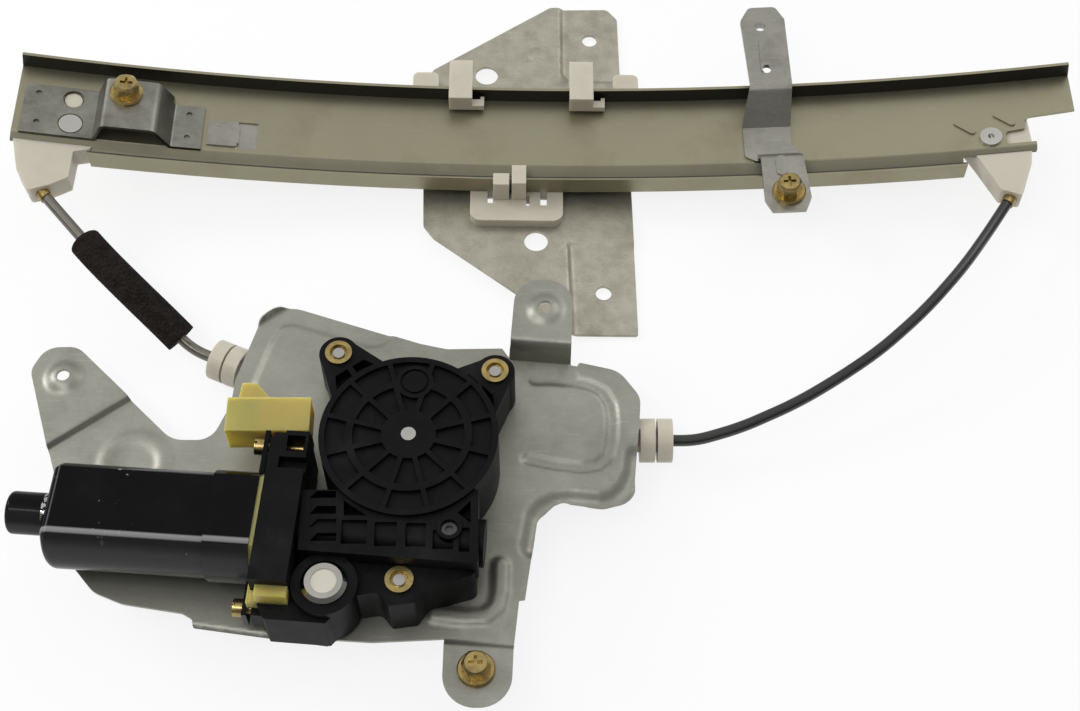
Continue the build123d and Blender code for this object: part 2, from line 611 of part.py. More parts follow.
def foam_sleeve():
    """A foam tube pushed over the left conduit to stop it rattling."""
    route = left_conduit_route()
    part = [route[1], route[2], route[3], route[4], route[5]]
    wire = FilletPolyline(*part, radius=corner_radii(route)[1:4])
    start = Plane(wire @ 0, z_dir=wire % 0)
    body = sweep(start * Circle(SLEEVE_R), path=wire) - tube(route, corner_radii(route), CONDUIT_R)
    ends = [Plane(wire @ 0, z_dir=wire % 0), Plane(wire @ 1, z_dir=-(wire % 1))]
    for end, trim in zip(ends, SLEEVE_TRIM):
        body -= end * Cylinder(SLEEVE_R + 4, trim, align=(Align.CENTER, Align.CENTER, Align.MIN))
    return whole(body)


def lift_cable():
    """The steel cable: drum, left conduit, rail, right conduit and drum again."""
    _, (near_l, far_l, _, _) = guide_corners(-1)
    _, (near_r, far_r, _, _) = guide_corners(1)
    start, end = math.radians(rail_angle(LEFT_TURN_X)), math.radians(rail_angle(RIGHT_TURN_X))
    bow_r = RAIL_RADIUS + CABLE_DEPTH
    mid, away = (start + end) / 2, bow_r / math.cos((end - start) / 2)
    apex = (RAIL_CROWN_X + away * math.sin(mid), CABLE_Y, RAIL_WEB_Z + RAIL_RADIUS - away * math.cos(mid))
    left, right = left_conduit_route(), right_conduit_route()
    points = [drum_line(LEFT_LINE, 0.0, LEFT_CABLE_Z), *reversed(left[1:-1]), far_l, near_l, apex, near_r, far_r,
              *right[1:-1], drum_line(RIGHT_LINE, 0.0, RIGHT_CABLE_Z)]
    turns = [TURN_TRIM * LEFT_TURN_R] * 2 + [bow_r] + [TURN_TRIM * RIGHT_TURN_R] * 2
    radii = [*reversed(corner_radii(left)), *turns, *corner_radii(right)]
    return tube(points, radii, CABLE_R)


def conduit_bushes():
    """Brass end bushes crimped on the conduits."""
    ring = Cylinder(BUSH_R, BUSH_LEN, align=(Align.CENTER, Align.CENTER, Align.MIN))
    ring -= Cylinder(CONDUIT_R, 3 * BUSH_LEN)
    return Compound(children=[whole(bush_place(side) * ring) for side in (-1, 1)])


def conduit_cap(heading, along, z, radius):
    """A moulded cap of two discs with a spigot, which seats the conduit in the drum housing's arm."""
    low = (Align.CENTER, Align.CENTER, Align.MIN)
    cap = Cylinder(radius, CAP_DISC, align=low)
    cap += Pos(0, 0, CAP_DISC + CAP_GAP) * Cylinder(radius, CAP_DISC, align=low)
    cap += Cylinder(CAP_NECK_R, 2 * CAP_DISC + CAP_GAP + ARM_SETBACK + CAP_SPIGOT, align=low)
    cap -= Cylinder(CONDUIT_R, 3.0, align=low)
    cap -= Cylinder(BORE_R, 200)
    return whole(line_plane(heading, along, z) * cap)


def left_conduit_cap():
    return conduit_cap(LEFT_LINE, LEFT_CAP_AT, LEFT_CABLE_Z, LEFT_CAP_R)


def right_conduit_cap():
    return conduit_cap(RIGHT_LINE, RIGHT_CAP_AT, RIGHT_CABLE_Z, RIGHT_CAP_R)


def carried(shape):
    """Moves a shape from plan coordinates and heights over the web to the carrier's place on the rail."""
    return on_rail(CARRIER_X) * Pos(-CARRIER_X, 0, 0) * shape


def clear_of_rail(shape):
    return shape - bowed(RAIL_SECTION, RAIL_LEFT_X, RAIL_RIGHT_X, grow=RUN_GAP)


def carrier_plate():
    plan = [
        (0.0, 231.6, 3), (58.0, 273.7, 3), (86.5, 274.6, 4), (91.5, 268.0, 3), (92.2, 228.8), (95.8, 160.5),
        (97.0, 84.0, 2), (96.9, 80.5, 1), (67.4, 80.5, 1), (41.3, 101.8, 20), (3.5, 131.4, 4), (-1.3, 138.2, 4),
        (-2.1, 162.3)]
    front, back = -CARRIER_DROP, -CARRIER_DROP - CARRIER_T
    panels = outline(PANEL_UPPER) + outline(PANEL_LOWER)
    walls = offset(panels, amount=CARRIER_T, kind=Kind.INTERSECTION)
    sheet = outline(plan)
    plate = Pos(0, 0, back) * extrude(sheet - panels, amount=CARRIER_T)
    plate += Pos(0, 0, back - CARRIER_STEP) * extrude(sheet & (walls - panels), amount=CARRIER_STEP + CARRIER_T)
    plate += Pos(0, 0, back - CARRIER_STEP) * extrude(sheet & walls, amount=CARRIER_T)
    for x, y in (GLASS_UPPER, GLASS_LOWER):
        plate -= rod(x, y, -30, 0, GLASS_HOLE_R)
    for x, y in ((26.7, 228.8), (51.0, 130.2)):
        plate -= rod(x, y, -30, 0, TOOL_HOLE_R)
    plate += rod(50.9, 242.5, front, front + 0.8, 3.6)
    for x0, x1, y0, y1 in SLOTS:
        plate -= box(x0, x1, y0, y1, -30, 0)
    for x, y in UPPER_RIVETS + LOWER_RIVETS:
        plate -= rod(x, y, -30, 0, RIVET_SHANK_R)
    return whole(carried(plate))


def upper_slider():
    """The moulded slider on the upper flange: a bar behind the web and two hooks over the flange."""
    seat = -CARRIER_DROP
    bar = slab(-8.7, 100.2, 189.0, 208.0, seat, -RAIL_T, 2.0)
    bar += slab(-8.7, 3.7, 189.0, 224.5, seat, -4.0, 3.0) + slab(88.0, 100.2, 189.0, 224.5, seat, -4.0, 3.0)
    cap_low, cap_high = FLANGE_H, FLANGE_H + 2.8
    for x0, x1 in HOOKS:
        bar += box(x0, x1, 203.0, 219.5, seat, cap_high) + box(x0, x1, 196.6, 205.0, 2.0, cap_high)
        bar += box(x1, x1 + 5.6, 196.6, 200.6, 2.0, 5.0) + box(x1 + 3.8, x1 + 5.6, 196.6, 202.2, 2.0, 5.0)
        bar -= box(x0 - 1, x1 + 1, 200.6, RAIL_TOP_Y, 0.0, cap_low)
    for x, y in UPPER_RIVETS:
        bar -= rod(x, y, -30, 0, RIVET_SHANK_R)
    return whole(clear_of_rail(carried(bar)))


def lower_slider():
    """The moulded slider under the lower lip, with two fingers hooked over the lip's edge."""
    seat = -CARRIER_DROP
    body = prism([(20.3, 172.0, 2), (20.3, 138.1, 5), (63.4, 138.1, 5), (63.4, 172.0, 2)], seat, -RAIL_T)
    body -= box(10, 80, 130, BEAD_START_Y - 1.5, -BEAD_H - 0.3, 20)
    for x0, x1, tip_y, top in FINGERS:
        body += box(x0, x1, 149.6, LIP_Y, seat, top) + box(x0, x1, 149.6, tip_y, LIP_TIP_H, top)
    for x0, x1, y0, y1 in SLOTS:
        body -= box(x0, x1, y0, y1, -30, 20)
    for x, y in LOWER_RIVETS:
        body -= rod(x, y, -30, 0, RIVET_SHANK_R)
    return whole(clear_of_rail(carried(body)))


def slider_rivets():
    """Semi-tubular rivets that hold both sliders on the plate, flush in the sliders' backs."""
    low = -CARRIER_DROP - CARRIER_T
    rivets = []
    for (x, y), top in [(p, -2.5) for p in UPPER_RIVETS] + [(p, -6.8) for p in LOWER_RIVETS]:
        rivets.append(carried(rod(x, y, low, top, RIVET_SHANK_R) + rod(x, y, low - 0.8, low, RIVET_SHANK_R + 1.5)))
    return Compound(children=rivets)


def cable_anchor():
    """The moulded block on the carrier that holds the cable's two end nipples."""
    length, width = ANCHOR
    block = slab(ANCHOR_X - length / 2, ANCHOR_X + length / 2, CABLE_Y - width / 2, CABLE_Y + width / 2,
                 -CARRIER_DROP, -RAIL_T - 0.8, 1.5)
    block -= Pos(ANCHOR_X, CABLE_Y, -CABLE_DEPTH) * Rot(0, 90, 0) * Cylinder(CABLE_SPACE_R, 3 * length)
    for side in (-1, 1):
        end = Pos(ANCHOR_X + side * length / 2, CABLE_Y, -CABLE_DEPTH)
        block -= end * Rot(0, 90, 0) * Cylinder(NIPPLE_R, 2 * NIPPLE_LEN)
    return whole(carried(block))


def cable_nipples():
    nipples = []
    for side in (-1, 1):
        at = Pos(ANCHOR_X + side * (ANCHOR[0] - NIPPLE_LEN) / 2, CABLE_Y, -CABLE_DEPTH) * Rot(0, 90, 0)
        nipples.append(carried(at * (Cylinder(NIPPLE_R, NIPPLE_LEN) - Cylinder(CABLE_R + RUN_GAP, 2 * NIPPLE_LEN))))
    return Compound(children=nipples)


def strip_along(points, width, low, high):
    """A raised rib with round ends along a line of plan points."""
    line = Polyline(*points)
    return Pos(0, 0, low) * extrude(trace(line, width), amount=high - low)


def riser(fold, low, high, wall):
    """The upright wall where a tab steps up from the plate along a fold line."""
    (x0, y0), (x1, y1) = fold
    run = math.hypot(x1 - x0, y1 - y0)
    inward = ((y1 - y0) / run * wall, -(x1 - x0) / run * wall)
    corners = [(x0, y0), (x1, y1), (x1 + inward[0], y1 + inward[1]), (x0 + inward[0], y0 + inward[1])]
    return prism(corners, low, high)


def base_plate():
    plan = [
        (-149.7, 1.4), (-153.2, 11.1), (-120.9, 35.2), (-101.9, 15.2, 12), (-85.5, 15.2, 9), (-79.0, 31.5, 12),
        (-78.0, 45.6, 4), (-66.5, 85.9, 15), (0.6, 62.7, 10), (12.4, 59.9, 8), (36.2, 60.3), (40.2, 59.7), (40.2, 54.0),
        (65.8, 51.8), (68.6, 51.2), (69.4, 53.2, 1), (86.5, 49.0, 12), (95.4, 36.0, 10), (94.9, 27.7),
        (91.2, -11.5, 9), (78.5, -15.3, 8), (60.0, -12.2, 8), (51.6, -20.5, 5), (46.6, -57.2), (44.3, -57.4),
        (42.4, -76.4), (14.9, -74.0), (-13.5, -75.4, 8), (-28.0, -74.5, 2), (-30.5, -76.9, 1), (-84.7, -69.1),
        (-85.2, -65.6, 2), (-89.5, -63.1, 3), (-113.8, -59.1, 14), (-126.0, -54.0, 12), (-138.0, -40.0, 10)]
    plate = prism(plan, PLATE_Z, PLATE_TOP)
    tops = ((TAB, TAB_RISE), (ARM, ARM_RISE), (FOOT, FOOT_RISE))
    folds = (TAB_FOLD, ARM_FOLD, FOOT_FOLD)
    for (points, rise), fold in zip(tops, folds):
        plate += prism(points, PLATE_Z + rise, PLATE_TOP + rise)
        plate += riser(fold, PLATE_Z, PLATE_TOP + rise, PLATE_T)
    for points in RIBS:
        plate += strip_along(points, 5.5, PLATE_TOP, PLATE_TOP + RIB_H)
    plate += rod(*DOME_SPOT, PLATE_TOP, PLATE_TOP + RIB_H, DOME_R + 2.6) - rod(*DOME_SPOT, 0, 80, DOME_R - 2.6)
    plate -= strip_along(GROOVE, 4.5, PLATE_TOP - GROOVE_H, PLATE_TOP + 1)
    plate += prism([(-84.7, -69.1), (-37.4, -75.9), (-37.2, -74.5), (-84.5, -67.7)], PLATE_Z - 5.0, PLATE_Z)
    for (x, y), radius in ((UPPER_HOLE, M6_HOLE_R), (LOWER_HOLE, BOLT_HOLE_R), (ARM_HOLE, ARM_HOLE_R)):
        plate -= rod(x, y, 0, 60, radius)
    plate -= rod(0, 0, 0, 40, HUB_HOLE_R)
    for x, y in EARS:
        plate -= rod(x, y, 0, 40, COLLAR_HOLE_R)
    return whole(plate - gear_cover())


def housing_arm(heading, from_along, z0, z1, half_width):
    mid = drum_line(heading, from_along / 2, 0)
    bar = Box(-from_along, 2 * half_width, z1 - z0)
    return Pos(mid[0], mid[1], (z0 + z1) / 2) * Rot(0, 0, heading) * bar


def arms(z0, z1, half_width):
    return housing_arm(LEFT_LINE, LEFT_ARM_END, z0, z1, half_width) + housing_arm(
        RIGHT_LINE, RIGHT_ARM_END, z0, z1, half_width)


def drum_housing():
    """The moulded pan behind the base plate, with an arm to seat each conduit cap."""
    outer = HOUSING_INNER_R + HOUSING_WALL
    pan = rod(0, 0, COVER_T, PLATE_Z, outer) + arms(COVER_T, PLATE_Z, ARM_HALF_W)
    pan -= rod(0, 0, 0, PLATE_Z - HOUSING_FLOOR, HOUSING_INNER_R)
    pan -= rod(0, 0, 0, 40, HUB_R + RUN_GAP)
    for heading, end, z in ((LEFT_LINE, LEFT_ARM_END, LEFT_CABLE_Z), (RIGHT_LINE, RIGHT_ARM_END, RIGHT_CABLE_Z)):
        pan -= line_plane(heading, 0, z) * Cylinder(CABLE_SPACE_R, -2 * end)
        low = (Align.CENTER, Align.CENTER, Align.MIN)
        pan -= line_plane(heading, end, z) * Cylinder(CAP_NECK_R, CAP_SPIGOT, align=low)
    return whole(pan)


def drum_cover():
    """The flat cover that closes the drum housing's back."""
    outer = HOUSING_INNER_R + HOUSING_WALL
    return whole(rod(0, 0, 0, COVER_T, outer) + arms(0, COVER_T, ARM_HALF_W))


def wound_turns():
    """The heights of the cable's turns left on the drum."""
    pitch = 2 * CABLE_R + 0.2
    return [DRUM_LOW + FLANGE_T + 1.2 + i * pitch for i in range(2)] + [RIGHT_CABLE_Z + 2.0]


def cable_drum():
    core = DRUM_R - CABLE_R - RUN_GAP
    drum = rod(0, 0, DRUM_LOW, DRUM_HIGH, core)
    drum += rod(0, 0, DRUM_LOW, DRUM_LOW + FLANGE_T, DRUM_R + 2.5)
    drum += rod(0, 0, DRUM_HIGH - FLANGE_T, DRUM_HIGH, DRUM_R + 2.5)
    drum -= rod(0, 0, 0, 40, HUB_R)
    for z in wound_turns():
        drum -= Pos(0, 0, z) * Torus(core, CABLE_R)
    return whole(drum)


def wound_cable():
    core = DRUM_R - CABLE_R - RUN_GAP
    return Compound(children=[Pos(0, 0, z) * Torus(core, CABLE_R) for z in wound_turns()])


def motor_place():
    """The motor's own frame: X along its axis away from the yoke, Z as the row's."""
    return Rot(0, 0, MOTOR_TURN) * Pos(0, -WORM_OFFSET, MOTOR_Z)


def axial(x0, x1, radius):
    """A cylinder along the motor's axis, in the motor's frame."""
    return Pos((x0 + x1) / 2, 0, 0) * Rot(0, 90, 0) * Cylinder(radius, x1 - x0)


def spoke(x, y, half_width, low, high):
    """An arm of the case from the wheel's axis out to an ear, with a round end."""
    length, turn = math.hypot(x, y), math.degrees(math.atan2(y, x))
    return Rot(0, 0, turn) * Pos(length / 2, 0, (low + high) / 2) * Box(length, 2 * half_width, high - low) + rod(
        x, y, low, high, half_width)


def ear_arm(x, y, low, high):
    """A tapered arm from the disc out to an ear."""
    length, turn = math.hypot(x, y), math.degrees(math.atan2(y, x))
    arm = prism([(28.0, -17.0), (length, -8.2), (length, 8.2), (28.0, 17.0)], low, high)
    return Rot(0, 0, turn) * arm + rod(x, y, low, high, 8.2)


def ear_pockets(x, y):
    """The two hollows in such an arm, either side of its middle rib."""
    length, turn = math.hypot(x, y), math.degrees(math.atan2(y, x))
    tip = length - 8.4
    one = prism([(37.0, 1.2), (tip, 1.2), (tip, 7.0), (37.0, 11.4)], EAR_TOP - 5.0, EAR_TOP + 1)
    return Rot(0, 0, turn) * (one + mirror(one, Plane.XZ))


def case_outline(low, high):
    """The case below its disc: the worm's block, the lower skirt and the boss of the vent cap."""
    skirt = prism([
        (-37.0, -28.0), (28.0, -28.0), (27.6, -56.6, 3), (8.2, -62.8, 4), (4.5, -68.6, 1.5), (-5.4, -70.0, 1.5),
        (-9.9, -64.2, 4), (-20.0, -66.0), (-29.5, -77.2, 1), (-53.4, -75.2, 1), (-57.2, -67.2, 1),
        (-57.2, -61.0), (-40.0, -58.0)], low, high)
    return skirt


def gear_housing():
    """The moulded gear case: a ribbed disc over the wheel, the worm's tunnel and the motor's seat."""
    case = rod(0, 0, CASE_LOW, CASE_TOP, CASE_DISC_R)
    for x, y in EARS[:2]:
        case += ear_arm(x, y, CASE_LOW, EAR_TOP) - ear_pockets(x, y)
    case += spoke(*EARS[2], 8.2, CASE_LOW, EAR_TOP) + case_outline(CASE_LOW, EAR_TOP)
    case += prism(LATTICE, 40.0, LATTICE_TOP) - lattice_hollows()
    case += rod(VENT_SPOT[0], VENT_SPOT[1], CASE_LOW, BOSS_TOP, 13.0)
    case += rod(SCREW_SPOT[0], SCREW_SPOT[1], 46.0, SCREW_BOSS_TOP, SCREW_BOSS_R)
    block = box(*BLOCK) + box(-48.3, -39.0, 30.0, 36.6, -17.6, 15.4)
    block += axial(TUNNEL_FROM, TUNNEL_TO, WORM_R + TUNNEL_WALL)
    for y, z in YOKE_SCREWS:
        block += box(TUNNEL_FROM, TUNNEL_FROM + SCREW_LEN + 3.0, y - 4.6, y + 4.6, z - 4.6, z + 4.6)
    case += motor_place() * block
    case -= rod(0, 0, 0, CASE_TOP - CASE_WALL, CASE_INNER_R)
    bore = axial(TUNNEL_FROM - 1, TUNNEL_TO - 2, WORM_R + 0.5)
    case -= motor_place() * (bore + axial(TUNNEL_FROM - 1, TUNNEL_FROM + 10.0, CHAMBER_R))
    case -= rod(0, 0, 0, 80, PIN_R) + lid_pockets()
    for x, y in EARS:
        case -= rod(x, y, 0, 80, COLLAR_R)
    case -= rod(SCREW_SPOT[0], SCREW_SPOT[1], 50.8, 80, 2.0) + rod(SCREW_SPOT[0], SCREW_SPOT[1], 51.5, 80, 3.4)
    case -= rod(VENT_SPOT[0], VENT_SPOT[1], BOSS_TOP - 6.0, 80, VENT_R)
    for x0, x1, y0, y1, z0 in BLOCK_POCKETS:
        case -= motor_place() * box(x0, x1, y0, y1, z0, 30)
    for y, z in YOKE_SCREWS:
        case -= motor_place() * Pos(0, y, z) * axial(TUNNEL_FROM - 1, TUNNEL_FROM + SCREW_LEN, SCREW_R)
    return whole(case)


def lattice_hollows():
    """The pockets between the ribs over the worm's tunnel, and the gaps between the fins beside them."""
    hollows = prism([(-24.4, -28.6), (-14.9, -35.3), (-24.0, -35.3)], LATTICE_FLOOR, 80)
    hollows += prism([(20.4, -34.0), (25.4, -28.8), (25.6, -38.6)], LATTICE_FLOOR, 80)
    for x0, x1, y0, y1 in LATTICE_POCKETS:
        hollows += box(x0, x1, y0, y1, LATTICE_FLOOR, 80)
    for x, high_y, low_y in FIN_GAPS:
        hollows += prism([(x, low_y), (x + FIN_GAP_LEN, low_y), (x + FIN_GAP_LEN, high_y), (x + 3.0, high_y)],
                         LATTICE_FLOOR, 80)
    return hollows


def lid_pockets():
    """Two rings of shallow pockets in the disc, parted by twelve ribs and a round boss."""
    floor = CASE_TOP - LID_POCKET
    ring = rod(0, 0, floor, CASE_TOP + 1, 22.5) - rod(0, 0, floor - 1, CASE_TOP + 2, 11.0)
    rim = rod(0, 0, floor, CASE_TOP + 1, 33.6) - rod(0, 0, floor - 1, CASE_TOP + 2, 25.5)
    pockets = ring + rim
    for i in range(12):
        pockets -= Rot(0, 0, 30 * i + 15) * Pos(18, 0, CASE_TOP) * Box(36, 2.0, 8)
    pockets -= rod(*LID_BOSS, 50, 60, 7.6)
    groove = rod(*LID_BOSS, CASE_TOP - 0.9, 60, 5.9) - rod(*LID_BOSS, CASE_TOP - 2, 61, 4.9)
    return pockets + groove


def gear_cover():
    """The flat cover between the gear case and the base plate."""
    cover = rod(0, 0, PLATE_TOP, CASE_LOW, CASE_DISC_R) + case_outline(PLATE_TOP, CASE_LOW)
    cover += motor_place() * box(BLOCK[0], BLOCK[1], BLOCK[2], BLOCK[3], PLATE_TOP - MOTOR_Z, CASE_LOW - MOTOR_Z)
    for x, y in EARS[:2]:
        cover += ear_arm(x, y, PLATE_TOP, CASE_LOW)
    cover += spoke(*EARS[2], 8.2, PLATE_TOP, CASE_LOW)
    for x, y in EARS:
        cover -= rod(x, y, 0, 80, COLLAR_R)
    return whole(cover - rod(0, 0, 0, 80, HUB_R + RUN_GAP))


def worm_wheel():
    """The moulded worm wheel; its teeth stand just clear of the worm."""
    pitch = 2 * math.pi / WHEEL_TEETH
    points = []
    root_r = WHEEL_R - TOOTH_H
    for i in range(WHEEL_TEETH):
        for step, radius in ((-0.42, root_r), (-0.16, WHEEL_R), (0.16, WHEEL_R), (0.42, root_r)):
            turn = (i + step) * pitch
            points.append((radius * math.cos(turn), radius * math.sin(turn)))
    teeth = make_face(Polyline(*points, close=True))
    wheel = Pos(0, 0, WHEEL_LOW) * extrude(teeth, amount=WHEEL_HIGH - WHEEL_LOW)
    return whole(wheel - rod(0, 0, 0, 80, RIM_INNER_R))


def drive_damper():
    """A rubber ring that carries the wheel's torque to the hub."""
    return whole(rod(0, 0, WHEEL_LOW, WHEEL_HIGH, RIM_INNER_R) - rod(0, 0, 0, 80, HUB_FLANGE_R))


def output_hub():
    hub = rod(0, 0, CASE_LOW + RUN_GAP, CASE_TOP - CASE_WALL - RUN_GAP, HUB_FLANGE_R)
    hub += rod(0, 0, DRUM_LOW, 40, HUB_R)
    return whole(hub - rod(0, 0, CASE_LOW + 1, 80, PIN_R + FIT_GAP))


def wheel_pin():
    """The fixed pin that the wheel's hub turns on; its end shows in the disc's middle."""
    return rod(0, 0, CASE_LOW + 2.0, CASE_TOP + 0.3, PIN_R)


def fixing_studs():
    """The three studs pressed into the base plate that hold the gear case."""
    return Compound(children=[rod(x, y, PLATE_Z, EAR_TOP + 0.8, COLLAR_HOLE_R) for x, y in EARS])


def fixing_collars():
    """Plated collars moulded into the case's ears."""
    collars = []
    for x, y in EARS:
        collar = rod(x, y, PLATE_TOP, EAR_TOP + 1.4, COLLAR_R) - rod(x, y, 0, 80, COLLAR_HOLE_R)
        collars.append(whole(collar - rod(x, y, EAR_TOP - 0.8, 80, 3.7)))
    return Compound(children=collars)


def vent_cap():
    """The chrome cap ring pressed into the boss."""
    x, y = VENT_SPOT
    ring = rod(x, y, BOSS_TOP - 6.0, BOSS_TOP + 2.6, VENT_R)
    ring = chamfer(ring.edges().group_by(Axis.Z)[-1], 1.6)
    return whole(ring - rod(x, y, 0, 80, VENT_PLUG_R))


def vent_plug():
    x, y = VENT_SPOT
    return rod(x, y, BOSS_TOP - 6.0, BOSS_TOP + 2.2, VENT_PLUG_R)


def case_screw():
    x, y = SCREW_SPOT
    head = rod(x, y, 51.5, 53.3, 3.1) - Pos(x, y, 53.3) * Cylinder(1.6, 2.0)
    return whole(head + rod(x, y, 50.8, 51.6, 2.0))


def yoke_screws():
    """Plated screws that clamp the yoke's ears to the gear case."""
    screws = []
    for y, z in YOKE_SCREWS:
        head = axial(EAR_FACE - 4.2, EAR_FACE, 3.6) + axial(EAR_FACE, TUNNEL_FROM + SCREW_LEN, SCREW_R)
        head -= Pos(EAR_FACE - 4.2, 0, 0) * Box(2.4, 1.0, 9)
        screws.append(whole(motor_place() * Pos(0, y, z) * head))
    return Compound(children=screws)


def yoke_section(grow=0.0):
    """The yoke's section in YZ: a circle with two flats."""
    circle = Circle(YOKE_R + grow)
    return Plane.YZ * (circle & Rectangle(3 * YOKE_R, 2 * (YOKE_FLAT + grow)))


def along_motor(face, x0, x1):
    return Pos(x0, 0, 0) * extrude(face, amount=x1 - x0, dir=(1, 0, 0))


def motor_yoke():
    """The deep-drawn steel yoke, with the rear bearing's boss and two ears at its mouth."""
    yoke = along_motor(yoke_section(), YOKE_REAR, YOKE_MOUTH)
    yoke = fillet(yoke.edges().group_by(Axis.X)[0], 4.0)
    yoke += along_motor(yoke_section(MOUTH_GROW), YOKE_MOUTH - MOUTH_LEN, YOKE_MOUTH)
    boss = axial(YOKE_REAR - BOSS_LEN, YOKE_REAR + 5.0, BOSS_R)
    yoke += fillet(boss.edges().group_by(Axis.X)[0], 2.0)
    for y, z in YOKE_SCREWS:
        far = y + math.copysign(5.0, y)
        yoke += box(EAR_FACE, YOKE_MOUTH, min(0, far), max(0, far), z - 5.0, z + 5.0)
    yoke -= along_motor(yoke_section(-YOKE_T), YOKE_REAR + YOKE_T, YOKE_MOUTH)
    yoke -= axial(YOKE_REAR - BOSS_LEN + YOKE_T, YOKE_REAR + 10.0, BOSS_R - YOKE_T)
    for y, z in YOKE_SCREWS:
        yoke -= Pos(0, y, z) * axial(EAR_FACE - 1, YOKE_MOUTH + 1, SCREW_R)
    return whole(motor_place() * yoke)


def field_magnets():
    """Two curved ferrite magnets against the yoke's round sides."""
    ring = along_motor(yoke_section(-YOKE_T), CORE_X[0] - 2, CORE_X[1] + 2) - axial(-200, 0, MAGNET_R)
    slot = Box(300, 60, 19)
    both = (ring & (Pos(-100, 0, 0) * slot)).solids()
    return Compound(children=[motor_place() * s for s in both])


def armature_core():
    core = axial(CORE_X[0], CORE_X[1], CORE_R) - axial(-200, 0, SHAFT_R)
    for i in range(10):
        core -= Rot(36 * i, 0, 0) * Pos((CORE_X[0] + CORE_X[1]) / 2, 0, CORE_R - 1.5) * Box(60, 1.8, 4)
    return whole(motor_place() * core)


def armature_windings():
    ends = [axial(CORE_X[0] - 6.0, CORE_X[0], 11.5), axial(CORE_X[1], CORE_X[1] + 7.0, 11.5)]
    return Compound(children=[whole(motor_place() * (end - axial(-200, 0, SHAFT_R))) for end in ends])


def commutator():
    return whole(motor_place() * (axial(*COMM_X, COMM_R) - axial(-200, 0, SHAFT_R)))


def worm_shaft():
    """The armature's shaft with the worm rolled on it. Its thread is drawn as rings."""
    shaft = axial(YOKE_REAR - BOSS_LEN + 4.0, TUNNEL_TO - 3.5, SHAFT_R) + axial(-18.0, 18.0, WORM_R - TOOTH_H)
    for i in range(10):
        x = -16.2 + i * 3.6
        shaft += Pos(x, 0, 0) * Rot(0, 90, 0) * Cylinder(WORM_R, 1.2)
    return whole(motor_place() * shaft)


def shaft_bearings():
    """Sintered bushes: in the yoke's boss, in the case behind the brushes, and beyond the worm."""
    places = [
        (YOKE_REAR - BOSS_LEN + 6.0, YOKE_REAR - 2.0, BOSS_R - YOKE_T), (-38.0, -30.0, WORM_R + 0.5),
        (22.0, 29.0, WORM_R + 0.5)]
    return Compound(children=[
        whole(motor_place() * (axial(x0, x1, r) - axial(-200, 60, SHAFT_R + FIT_GAP))) for x0, x1, r in places])


def brush_card():
    """The ivory card clamped between yoke and case, with the two brush guides."""
    card = along_motor(yoke_section(MOUTH_GROW - 0.6), YOKE_MOUTH, TUNNEL_FROM)
    for side in (-1, 1):
        low, high = sorted((side * 5, side * 16))
        card += box(YOKE_MOUTH - 24.0, YOKE_MOUTH, side * 12.5 - 4.8, side * 12.5 + 4.8, -4.0, 4.0)
        card -= box(YOKE_MOUTH - 30.0, YOKE_MOUTH - 10.0, low, high, -2.5, 2.5)
    card -= axial(-200, 0, COMM_R + 1.0)
    card += box(YOKE_MOUTH, TUNNEL_FROM, -33.0, -18.0, -2.0, 3.0)
    card += box(TUNNEL_FROM, TUNNEL_FROM + 15.0, -33.0, BLOCK[2], -2.0, 5.0)
    card += box(TUNNEL_FROM + 2.5, TUNNEL_FROM + 15.0, -33.0, BLOCK[2], 4.0, 11.0)
    return whole(motor_place() * card - gear_housing())


def carbon_brushes():
    brushes = []
    for side in (-1, 1):
        low, high = sorted((side * (COMM_R + FIT_GAP), side * 12.5))
        brushes.append(motor_place() * box(-78.0, -72.0, low, high, -2.5, 2.5))
    return Compound(children=brushes)


def brush_springs():
    """Coil springs behind the brushes, each drawn as a short tube."""
    coil = Rot(90, 0, 0) * (Cylinder(2.2, 3.4) - Cylinder(1.5, 6.0))
    return Compound(children=[whole(motor_place() * Pos(-75.0, side * 14.2, 0) * coil) for side in (-1, 1)])


def connector_housing():
    x0, x1, y0, y1, z0, z1 = MOUTH_BOX
    shell = box(x0, x1, y0, y1, z0, z1) + box(x1 - 1, -40.5, y0, y1, z0 + 1.5, z1)
    shell += prism([(-70.5, y1), (-69.5, y1 + 8.0, 1), (-63.5, y1 + 8.0, 2), (-56.8, y1)], z1 - 6.0, z1 - 2.0)
    shell -= box(x0 - 1, x1 - 2.0, y0 + CONN_T, y1 - CONN_T, z0 + CONN_T, z1 - CONN_T)
    for y in TERMINAL_YS:
        shell -= box(x1 - 3, x1 + 4, y - 0.4, y + 0.4, 43.0, 46.0)
    return whole(shell - gear_housing() - motor_yoke() - yoke_screws())


def connector_terminals():
    x0, x1 = MOUTH_BOX[0] + 3.0, MOUTH_BOX[1] + 4.0
    return Compound(children=[box(x0, x1, y - 0.4, y + 0.4, 43.0, 46.0) for y in TERMINAL_YS])


NODES = [
    guide_rail, rail_left_bracket, rail_stop_clip, rail_strap_upper, rail_strap_lower, mounting_bolts,
    left_cable_guide, right_cable_guide, guide_rivets, conduit_bushes, left_conduit, right_conduit, foam_sleeve,
    left_conduit_cap, right_conduit_cap, lift_cable, carrier_plate, upper_slider, lower_slider, slider_rivets,
    cable_anchor, cable_nipples, base_plate, drum_housing, drum_cover, cable_drum, wound_cable, gear_housing,
    gear_cover, worm_wheel, drive_damper, output_hub, wheel_pin, fixing_studs, fixing_collars, vent_cap, vent_plug,
    case_screw, yoke_screws, motor_yoke, field_magnets, armature_core, armature_windings, commutator, worm_shaft,
    shaft_bearings, brush_card, carbon_brushes, brush_springs, connector_housing, connector_terminals,
]

for build in NODES:
    export_step(build(), "parts/" + build.__name__ + ".step")
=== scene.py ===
import bpy
import math
import numpy as np
from mathutils import Vector, Matrix, geometry


